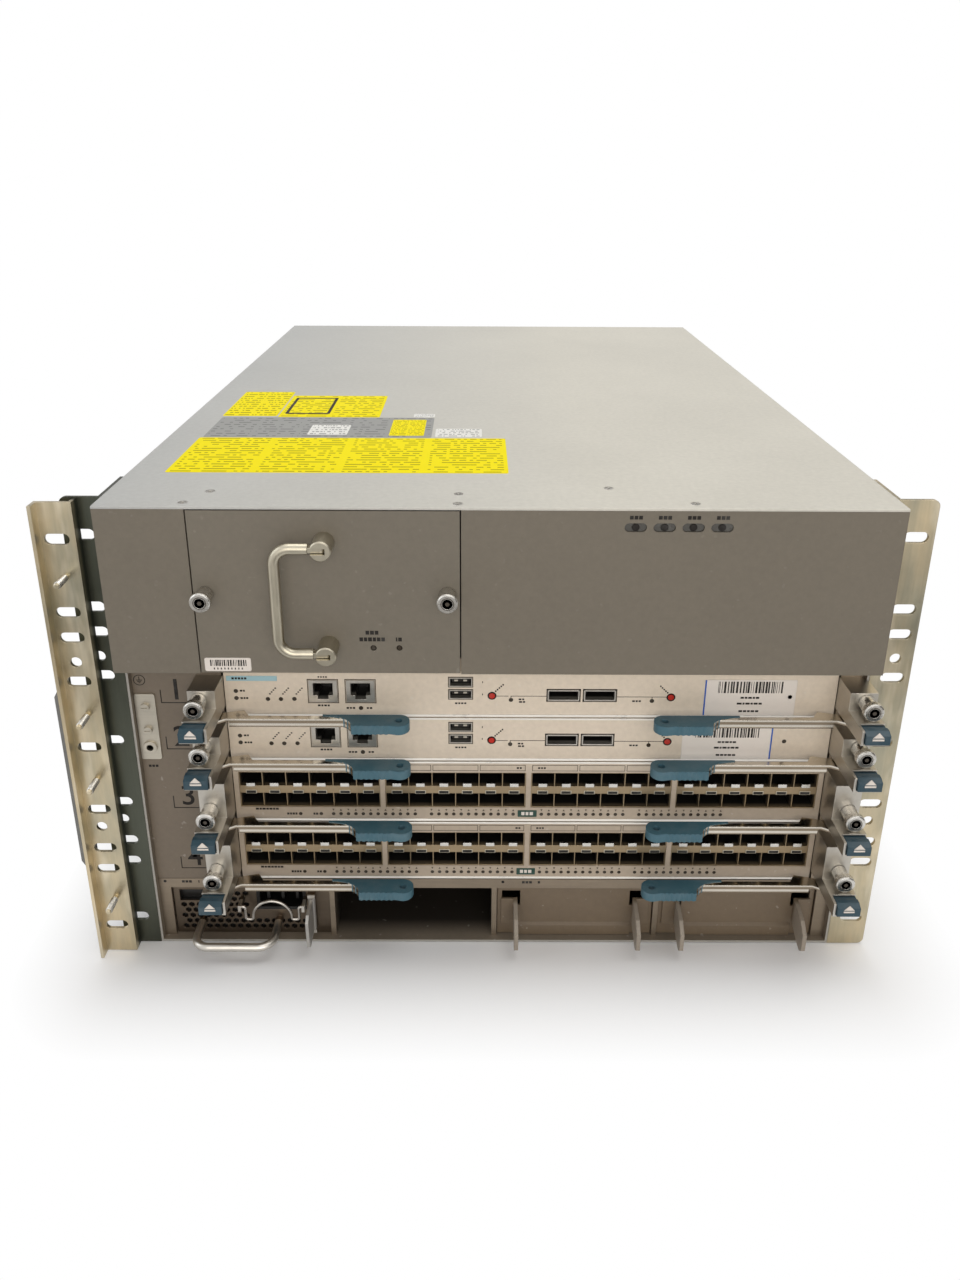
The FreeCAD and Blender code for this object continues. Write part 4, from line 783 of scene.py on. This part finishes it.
def supervisorDetails(name):
    look = {"leds": ((-176.5, 17.7), (-176.5, 12.9), (-157.7, 12.3), (-149.9, 12.3), (-141.8, 12.4),
                     (-102.1, 6.3), (-11.9, 12.2), (72.8, 11.8), (155.5, 14.8)),
            "ladders": (-157.7, -149.9, -141.8), "buttons": ((-23.3, 15.0), (84.1, 14.3)),
            "jacks": (-124.4, -102.0), "pinFirst": -3.6, "pinPitch": 1.02, "pinHalf": 0.22, "usbLevels": (15.9, 24.2),
            "usbX": -42.1, "usbHalf": 5.3, "bandColor": (0.36, 0.55, 0.60), "band": (-181.6, -151.4, 24.6, 28.0)}
    zb, c, face = slotBottom[name], moduleMiddle, moduleFace
    platesMesh(name + "Lamps", [disc(c + x, zb + z, 1.35, 18) for x, z in look["leds"]], face, 0.1, lensDark, name)
    marks = []
    for x in look["ladders"]:
        for step in range(4):
            left, foot = c + x + 0.9 + step * 1.15, zb + 15.4 + step * 1.3
            marks.append(printed(left, left + 1.0, foot, foot + 0.8, face))
    for x, z, widths, height in (
            (-172.6, 17.9, (1.4, 1.0), 1.2), (-171.8, 12.9, (1.4, 1.0, 1.2), 1.2),
            (-172.6, 17.9, (1.4, 1.0), 1.2), (-171.8, 12.9, (1.4, 1.0, 1.2), 1.2),
            (-124.4, 8.0, (1.6, 1.2, 1.6, 1.2), 1.2), (-124.4, 27.4, (1.0, 1.0, 1.0, 1.0), 1.0),
            (-108.2, 6.3, (1.5, 1.2, 1.5), 1.2), (-97.0, 6.3, (1.3, 1.5), 1.2), (-42.1, 9.8, (1.5, 1.2, 1.4, 1.2), 1.1),
            (-29.0, 24.2, (0.5,), 1.2), (-29.0, 15.9, (0.5,), 1.2), (-5.6, 12.6, (1.6, 1.2), 1.1),
            (-5.2, 10.8, (1.8, 1.4), 1.1), (63.6, 11.6, (1.6, 1.2, 1.4), 1.1)):
        marks += dashRow(c + x, zb + z, widths, height, face)
    for (x, z), way in zip(look["buttons"], (1, -1)):
        for step in range(5):
            marks.append(faceMark(c + x + way * (2.2 + step * 1.1), zb + z + 3.1 + step * 1.1, 0.9, 1.0, face))
    for x0, x1, z0, z1 in ((-21.0, -13.4, 14.6, 14.95), (-12.1, -11.7, 12.2, 14.95), (-11.9, 9.8, 14.6, 14.95),
                           (51.6, 73.0, 14.3, 14.65), (72.6, 73.0, 11.8, 14.65), (73.0, 82.0, 14.3, 14.65)):
        marks.append(printed(c + x0, c + x1, zb + z0, zb + z1, face, 0.05))
    blocks(name + "Marks", marks, inkDark, name)
    frames = []
    for x, width, height, level, line in (
            (-124.4, 18.6, 16.4, 17.8, 0.45), (-102.0, 18.6, 16.4, 17.8, 0.45), (19.6, 20.6, 8.8, 15.4, 1.3),
            (41.4, 20.6, 8.8, 15.4, 1.3), (-42.1, 15.0, 7.2, 15.9, 0.45), (-42.1, 15.0, 7.2, 24.2, 0.45)):
        frames += printedFrame(c + x - width / 2, c + x + width / 2, zb + level - height / 2, zb + level + height / 2,
                               line, face)
    blocks(name + "PortOutlines", frames, printAndShadeBrown, name)
    contacts = []
    for x in look["jacks"]:
        for pin in range(8):
            px = c + x + look["pinFirst"] + pin * look["pinPitch"]
            contacts.append((px - look["pinHalf"], px + look["pinHalf"], face + 1.5, face + 9.0, zb + 22.2, zb + 22.7))
    blocks(name + "JackContacts", contacts, slotLooks["earth_metal"], name)
    usb = c + look["usbX"]
    tongues = [(usb - look["usbHalf"], usb + look["usbHalf"], face + 0.8, face + 11.0, zb + z - 0.1, zb + z + 1.7)
               for z in look["usbLevels"]]
    blocks(name + "UsbTongues", tongues, inkDark, name)
    pins = [(usb + x - 1.1, usb + x + 1.1, face + 0.6, face + 1.4, zb + z + 0.2, zb + z + 1.3)
            for z in look["usbLevels"] for x in (-2.7, 2.7)]
    blocks(name + "UsbPins", pins, slotLooks["earth_metal"], name)
    centers = [(c + x, zb + z) for x, z in look["buttons"]]
    red = inkMaterial(name + "RequestRed", (0.50, 0.03, 0.02), 0.35)
    lathe(name + "RequestCaps", [(1.9, face + 0.28), (1.85, face - 0.25), (1.3, face - 0.5), (0.3, face - 0.58)],
          centers, red, name, 20)
    lathe(name + "RequestRings", [(2.7, face + 0.01), (2.7, face - 0.08), (2.15, face - 0.08), (2.15, face + 0.01)],
          centers, inkDark, name, 20)
    left, right, foot, head = (origin + value for origin, value in zip((c, c, zb, zb), look["band"]))
    platesMesh(name + "Band", [[(left, foot), (right, foot), (right, head), (left, head)]], face, 0.05,
               inkMaterial(name + "BandBlue", look["bandColor"]), name)
    blocks(name + "BandMarks", dashRow(c - 174.0, zb + 26.3, (1.5, 1.3, 1.5, 1.2, 1.4), 1.3, face - 0.05), inkDark,
           name)


def assetSticker(name, left, edge):  # white tag with generic bars and one blue edge line
    look = {"width": 55.0, "foot": 1.2, "head": 26.4, "barFoot": 17.4, "barHead": 25.2, "line": 0.9,
            "seed": {"left": 11, "right": 29}}
    zb, face = slotBottom[name], moduleFace
    x0 = moduleMiddle + left
    x1 = x0 + look["width"]
    platesMesh(name + "Tag", [roundedOutline(x0, x1, zb + look["foot"], zb + look["head"], 0.8)], face, 0.1, inkWhite,
               name)
    marks = [(x, x + width, face - 0.14, face, zb + look["barFoot"], zb + look["barHead"])
             for x, width in unevenBars(x0 + 8.0, x1 - 9.0, look["seed"][edge], (0.35, 0.3, 4), (0.4, 0.3, 3), 5)]
    for row, widths in ((14.2, (2.0, 1.6, 2.2, 1.4, 2.0)), (10.2, (3.0, 1.2, 2.6, 1.4, 2.4, 2.0)),
                        (5.0, (2.2, 2.0, 1.6, 2.2, 2.0))):
        marks += [(a, b, face - 0.14, face, z0, z1)
                  for a, b, _, _, z0, z1 in dashRow((x0 + x1) / 2, zb + row, widths, 1.3, face)]
    blocks(name + "TagBars", marks, inkDark, name)
    start = x0 if edge == "left" else x1 - look["line"]
    line = (start, start + look["line"], face - 0.15, face, zb + look["foot"] + 0.2, zb + look["head"] - 0.2)
    blocks(name + "TagLine", [line], inkBlue, name)


for supervisor, left, edge in (("supervisor_1", 104.0, "left"), ("supervisor_2", 93.0, "right")):
    supervisorDetails(supervisor)
    assetSticker(supervisor, left, edge)
print("supervisor details made")


def ioDetails(name):
    look = {"stripLow": 37.6, "stripHigh": 42.0, "lampLevel": 5.6, "lampPitch": 4.67, "lampRow": 12, "lampSize": 1.15,
            "rows": (-122.2, -60.6, 8.5, 70.0), "single": (-142.9, -130.0), "arrowLevel": 8.6, "arrow": 1.4,
            "badgeColor": (0.03, 0.07, 0.055), "tabHalf": 2.7, "rimHalf": 3.4, "notchHalf": 2.9}
    zb, c, face = slotBottom[name], moduleMiddle, moduleFace
    pitch = portGroups["pitch"]
    middle = zb + (portGroups["low"] + portGroups["high"]) / 2
    bandLow, bandHigh = middle - portGroups["band"] / 2, middle + portGroups["band"] / 2
    outlines, tabs, rims, notches = [], [], [], []
    for edges in columnEdges():
        for pair in (0, 2, 4):
            left = c + edges[0] + pair * pitch
            outlines += printedFrame(left + 0.5, left + 2 * pitch - 0.5, zb + look["stripLow"], zb + look["stripHigh"],
                                     0.35, face, 0.05)
        for edge in edges:
            x = c + edge + pitch / 2
            for boxes, half, front, back, foot, head in (
                    (tabs, look["tabHalf"], 0.35, 1.2, bandHigh - 0.2, bandHigh + 2.2),
                    (rims, look["rimHalf"], 0.06, 0.42, bandLow - 0.1, bandLow + 2.5),
                    (notches, look["notchHalf"], 0.12, 0.45, bandLow + 0.2, bandLow + 2.0)):
                boxes.append((x - half, x + half, face - front, face + back, foot, head))
    blocks(name + "StripOutlines", outlines, printAndShadeBrown, name)
    blocks(name + "CageTabs", tabs, slotLooks["thumbscrew_steel"], name)
    blocks(name + "CageRims", rims, slotLooks["handle_nickel"], name)
    blocks(name + "CageNotches", notches, inkDark, name)
    lamps, arrows = [], []
    for start in look["rows"]:
        for index in range(look["lampRow"]):
            x = c + start + index * look["lampPitch"]
            lamps.append(disc(x, zb + look["lampLevel"], look["lampSize"], 14))
            half = look["arrow"] / 2 if index % 2 else -look["arrow"] / 2  # arrows point up and down in turn
            level = zb + look["arrowLevel"]
            left, right, tip = (x - 0.7, level - half), (x + 0.7, level - half), (x, level + half)
            arrows.append([left, right, tip] if index % 2 else [left, tip, right])
    lamps += [disc(c + x, zb + look["lampLevel"], look["lampSize"], 14) for x in look["single"]]
    platesMesh(name + "Lamps", lamps, face, 0.08, lensDark, name)
    platesMesh(name + "Arrows", arrows, face, 0.05, printAndShadeBrown, name)
    badge = inkMaterial(name + "BadgeGreen", look["badgeColor"])
    platesMesh(name + "Badge", [roundedOutline(c - 6.4, c + 5.6, zb + 3.6, zb + 8.6, 0.4)], face, 0.08, badge, name)
    blocks(name + "BadgeMarks", dashRow(c - 0.4, zb + 6.1, (2.0, 1.8, 2.2), 2.4, face - 0.08, 0.7), inkWhite, name)
    marks = []
    for x, z, widths, height, gap in (
            (-163.7, 9.2, (2.0, 1.4, 2.0, 1.6, 1.8, 1.4, 1.8), 1.4, 0.4),
            (-148.2, 5.6, (1.4, 1.2, 1.4, 1.2), 1.5, 0.4), (-133.4, 5.6, (1.2, 1.4), 1.5, 0.4),
            (-6.0, 39.8, (1.4, 1.2), 1.2, 0.5), (8.0, 39.8, (1.4, 1.2, 1.2), 1.2, 0.5),
            (171.0, 40.0, (1.6, 1.2, 1.4, 1.6), 1.3, 0.5)):
        marks += dashRow(c + x, zb + z, widths, height, face, gap)
    blocks(name + "Marks", marks, inkDark, name)


for module in ("io_module_3", "io_module_4"):
    ioDetails(module)
print("port details made")


def edgeStrips():  # bright contact strips along the lower and upper edges of every faceplate
    look = {"color": (0.86, 0.82, 0.75), "lowFrom": 0.2, "lowTo": 1.8, "highFrom": 1.3, "highTo": 0.1, "proud": 0.25,
            "inset": 3.0}
    material = metalMaterial("contactStrip", look["color"], metallic=0.45, Roughness=0.3, Smudge=0.3)
    for moduleName in moduleNames:
        low, high = boxMm(moduleName + "_faceplate")
        levels = [(low.z + look["lowFrom"], low.z + look["lowTo"])]
        if moduleName != moduleNames[0]:
            levels.append((high.z - look["highFrom"], high.z - look["highTo"]))
        strips = [printed(low.x + look["inset"], high.x - look["inset"], *level, moduleFace, look["proud"])
                  for level in levels]
        blocks(moduleName + "ContactStrips", strips, material, moduleName)


edgeStrips()
print("contact strips made")


def buttonSymbols():  # a plain raised triangle over a bar on each ejector button
    look = {"half": 3.3, "level": 13.8, "height": 3.6, "gap": 0.6, "bar": 1.2}
    for slot, moduleName in enumerate(moduleNames, 1):
        for side in ("left", "right"):
            node = "eject_button_%d_%s" % (slot, side)
            low, high = boxMm(node)
            x = (low.x + high.x) / 2
            left, right = x - look["half"], x + look["half"]
            foot = slotBottom[moduleName] + look["level"]
            barHead = foot - look["gap"]
            barFoot = barHead - look["bar"]
            outlines = [[(left, foot), (right, foot), (x, foot + look["height"])],
                        [(left, barFoot), (right, barFoot), (right, barHead), (left, barHead)]]
            platesMesh("buttonSymbol%d%s" % (slot, side.capitalize()), outlines, low.y, 0.12, inkWhite, node)


def headMarks(name, centers, front, body):  # dark rings and hexagons in the screw heads, painted shade for a turned groove and a socket
    look = {"outer": 3.7, "inner": 3.2, "socket": 1.3, "proud": 0.03}
    # painted shade: a dark ring for the groove and a dark hexagon for the socket
    y, root = front - look["proud"], front + look["proud"]
    paintedShade = [(look["outer"], root), (look["outer"], y), (look["inner"], y), (look["inner"], root)]
    lathe(name + "GrooveShade", paintedShade, centers, printAndShadeBrown, body, 28)
    lathe(name + "Socket", [(look["socket"], root), (look["socket"], y)], centers, printAndShadeBrown, body, 6)


def knurledHeads(name, heads, centers, front, body, slot):  # knurled rims round the screws' heads
    look = {"radius": 5.62, "depth": 0.22, "start": 0.7, "length": 3.2, "sides": 96}
    y = front + look["start"]
    lathe(name, [(look["radius"], y), (look["radius"], y + look["length"])], centers, slotLooks[slot], body,
          look["sides"], look["depth"])
    headMarks(heads, centers, front, body)


def knurls():
    look = {"inset": 5.6}
    for moduleName in moduleNames:
        low, high = boxMm(moduleName + "_thumbscrews")
        z = (low.z + high.z) / 2
        centers = [(low.x + look["inset"], z), (high.x - look["inset"], z)]
        knurledHeads(moduleName + "Knurls", moduleName + "Heads", centers, low.y, moduleName, "thumbscrew_steel")
    for node in ("fan_screw_left", "fan_screw_right"):
        low, high = boxMm(node)
        center = ((low.x + high.x) / 2, (low.z + high.z) / 2)
        knurledHeads(node + "Knurl", node + "Head", [center], low.y, node, "screw_steel")


def studThreads():  # rolled threads on the studs of the left bracket
    look = {"radius": 2.15, "root": 1.85, "pitch": 1.0, "turns": 11, "fromTip": 1.2, "fromLeft": 12.5,
            "rackUnit": 44.45, "drops": (1, 3, 4, 6)}
    low, high = boxMm("stud_bracket")
    centers = [(low.x + look["fromLeft"], coverHigh.z - drop * look["rackUnit"]) for drop in look["drops"]]
    profile = []
    for turn in range(look["turns"]):
        y = low.y + look["fromTip"] + turn * look["pitch"]
        profile += [(look["root"], y), (look["radius"], y + look["pitch"] / 2)]
    profile.append((look["root"], low.y + look["fromTip"] + look["turns"] * look["pitch"]))
    lathe("studThreads", profile, centers, slotLooks["screw_steel"], "chassis", 20)


buttonSymbols()
knurls()
studThreads()
print("button symbols, knurls and threads made")


def whiteRays(tree):  # 1 for the rays that see the backdrop: camera, mirror and glass rays
    rays = addNode(tree, "ShaderNodeLightPath").outputs
    first = larger(tree, rays["Is Camera Ray"], rays["Is Glossy Ray"])
    return larger(tree, first, rays["Is Transmission Ray"])


def mixToWhite(tree, factor, shader, white, end):
    mix = addNode(tree, "ShaderNodeMixShader")
    for index, source in enumerate((factor, shader, white)):
        wire(tree, source, mix.inputs[index])
    wire(tree, mix.outputs[0], end)


def stageSheet(name, meshName, corners, material):
    mesh = bpy.data.meshes.new(meshName)
    mesh.from_pydata(corners, [], [(0, 1, 2, 3)])
    mesh.materials.append(material)
    sheet = bpy.data.objects.new(name, mesh)
    scene.collection.objects.link(sheet)
    return sheet


def buildStage():  # pale floor that keeps the shadow and turns into the white backdrop farther out
    look = {"size": 12.0, "drop": 0.0006, "color": (0.97, 0.97, 0.98), "halfX": 0.23, "halfY": 0.305,
            "nearEdge": 0.0, "farEdge": 0.075}
    material, tree, shader = startMaterial("floorPaper")
    place = objectPlace(tree)
    tone = ramp(tree, noise(tree, place, 3.0, 2.0), 0.3, 0.7, 0.98, 1.0)
    wire(tree, brighten(tree, look["color"], tone), shader.inputs["Base Color"])
    setInputs(shader, Roughness=0.9, **{"Specular IOR Level": 0.0})
    outside = vectorNode(tree, "ABSOLUTE", place).outputs[0]
    outside = vectorNode(tree, "SUBTRACT", outside, (look["halfX"], look["halfY"], 0)).outputs[0]
    outside = vectorNode(tree, "MAXIMUM", outside).outputs[0]
    distance = vectorNode(tree, "LENGTH", outside).outputs["Value"]
    fade = ramp(tree, distance, look["nearEdge"], look["farEdge"])
    white = setInputs(addNode(tree, "ShaderNodeEmission"), Color=(1, 1, 1, 1), Strength=1.0)
    mixToWhite(tree, times(tree, fade, whiteRays(tree)), shader.outputs[0], white.outputs[0],
               tree.nodes["Material Output"].inputs["Surface"])
    half = look["size"] / 2
    floor = stageSheet("floor", "floorMesh", [(-half, -half, 0), (half, -half, 0), (half, half, 0), (-half, half, 0)],
                       material)
    floor.location.z = -look["drop"]


def buildFlags():  # dark boards that only shiny parts see
    look = {"color": (0.10, 0.085, 0.07)}
    boards = {"flagAbove": ((-1.2, 0.7, 1.5), (1.2, 0.7, 1.5), (1.2, 1.5, 0.9), (-1.2, 1.5, 0.9)),
              "flagFront": ((-0.7, -0.95, 0.001), (0.7, -0.95, 0.001), (0.7, -0.62, 0.001), (-0.7, -0.62, 0.001)),
              "flagRight": ((1.1, -1.2, 0.0), (1.1, 0.3, 0.0), (1.1, 0.3, 0.8), (1.1, -1.2, 0.8))}
    material, tree, shader = startMaterial("flagCloth")
    setInputs(shader, **{"Base Color": (*look["color"], 1)}, Roughness=0.9)
    for name, corners in boards.items():
        flag = stageSheet(name, name, corners, material)
        flag.visible_camera = False
        flag.visible_diffuse = False
        flag.visible_shadow = False


def buildWorld():  # even studio fill; the backdrop is white to the camera and in shiny parts
    look = {"fill": (0.90, 0.90, 0.92), "fillStrength": 0.36, "white": (1.0, 1.0, 1.0)}
    world = bpy.data.worlds.new("studioWorld")
    scene.world = world
    world.use_nodes = True
    tree = world.node_tree
    tree.nodes.clear()
    fill = setInputs(addNode(tree, "ShaderNodeBackground"), Color=(*look["fill"], 1), Strength=look["fillStrength"])
    white = setInputs(addNode(tree, "ShaderNodeBackground"), Color=(*look["white"], 1), Strength=1.0)
    end = addNode(tree, "ShaderNodeOutputWorld").inputs[0]
    mixToWhite(tree, whiteRays(tree), fill.outputs[0], white.outputs[0], end)


def areaLight(name, place, target, size, power, color):
    light = bpy.data.lights.new(name, "AREA")
    light.shape = "RECTANGLE"
    light.size, light.size_y = size
    light.energy = power
    light.color = color
    holder = bpy.data.objects.new(name, light)
    holder.location = place
    holder.rotation_euler = (Vector(target) - Vector(place)).to_track_quat("-Z", "Y").to_euler()
    scene.collection.objects.link(holder)


def buildLights():
    areaLight("ceilingPanel", (0.25, 0.2, 2.2), (0, 0, 0.2), (2.4, 1.6), 31, (1.0, 0.985, 0.94))
    areaLight("frontFill", (0.2, -2.5, 1.0), (0, -0.2, 0.15), (2.2, 1.2), 22, (1.0, 0.95, 0.88))
    areaLight("leftWindow", (-2.2, -0.4, 1.3), (0, 0, 0.2), (1.4, 1.6), 9, (0.88, 0.94, 1.0))


def buildCamera():  # above the front, looking down; pitch, yaw and roll in degrees
    look = {"place": (-0.0128, -0.7883, 0.4827), "pitch": 20.02, "yaw": 0.20, "roll": 0.29, "lens": 27.0,
            "sensor": 36.0, "shiftY": -0.0988, "clipStart": 0.01}
    pitch, yaw, roll = (math.radians(look[key]) for key in ("pitch", "yaw", "roll"))
    ahead = Vector((math.sin(yaw) * math.cos(pitch), math.cos(yaw) * math.cos(pitch), -math.sin(pitch)))
    right = Vector((math.cos(yaw), -math.sin(yaw), 0))
    up = right.cross(ahead)
    level = math.cos(roll) * right + math.sin(roll) * up
    above = -math.sin(roll) * right + math.cos(roll) * up
    camera = bpy.data.cameras.new("photoCamera")
    camera.sensor_fit = "VERTICAL"
    camera.sensor_height = look["sensor"]
    camera.lens = look["lens"]
    camera.shift_y = look["shiftY"]
    camera.clip_start = look["clipStart"]
    holder = bpy.data.objects.new("photoCamera", camera)
    turn = Matrix((level, above, -ahead)).transposed()
    holder.matrix_world = Matrix.Translation(look["place"]) @ turn.to_4x4()
    scene.collection.objects.link(holder)
    scene.camera = holder


buildStage()
buildFlags()
buildWorld()
buildLights()
buildCamera()
scene.view_settings.view_transform = "Standard"
print("stage, lights and camera set")

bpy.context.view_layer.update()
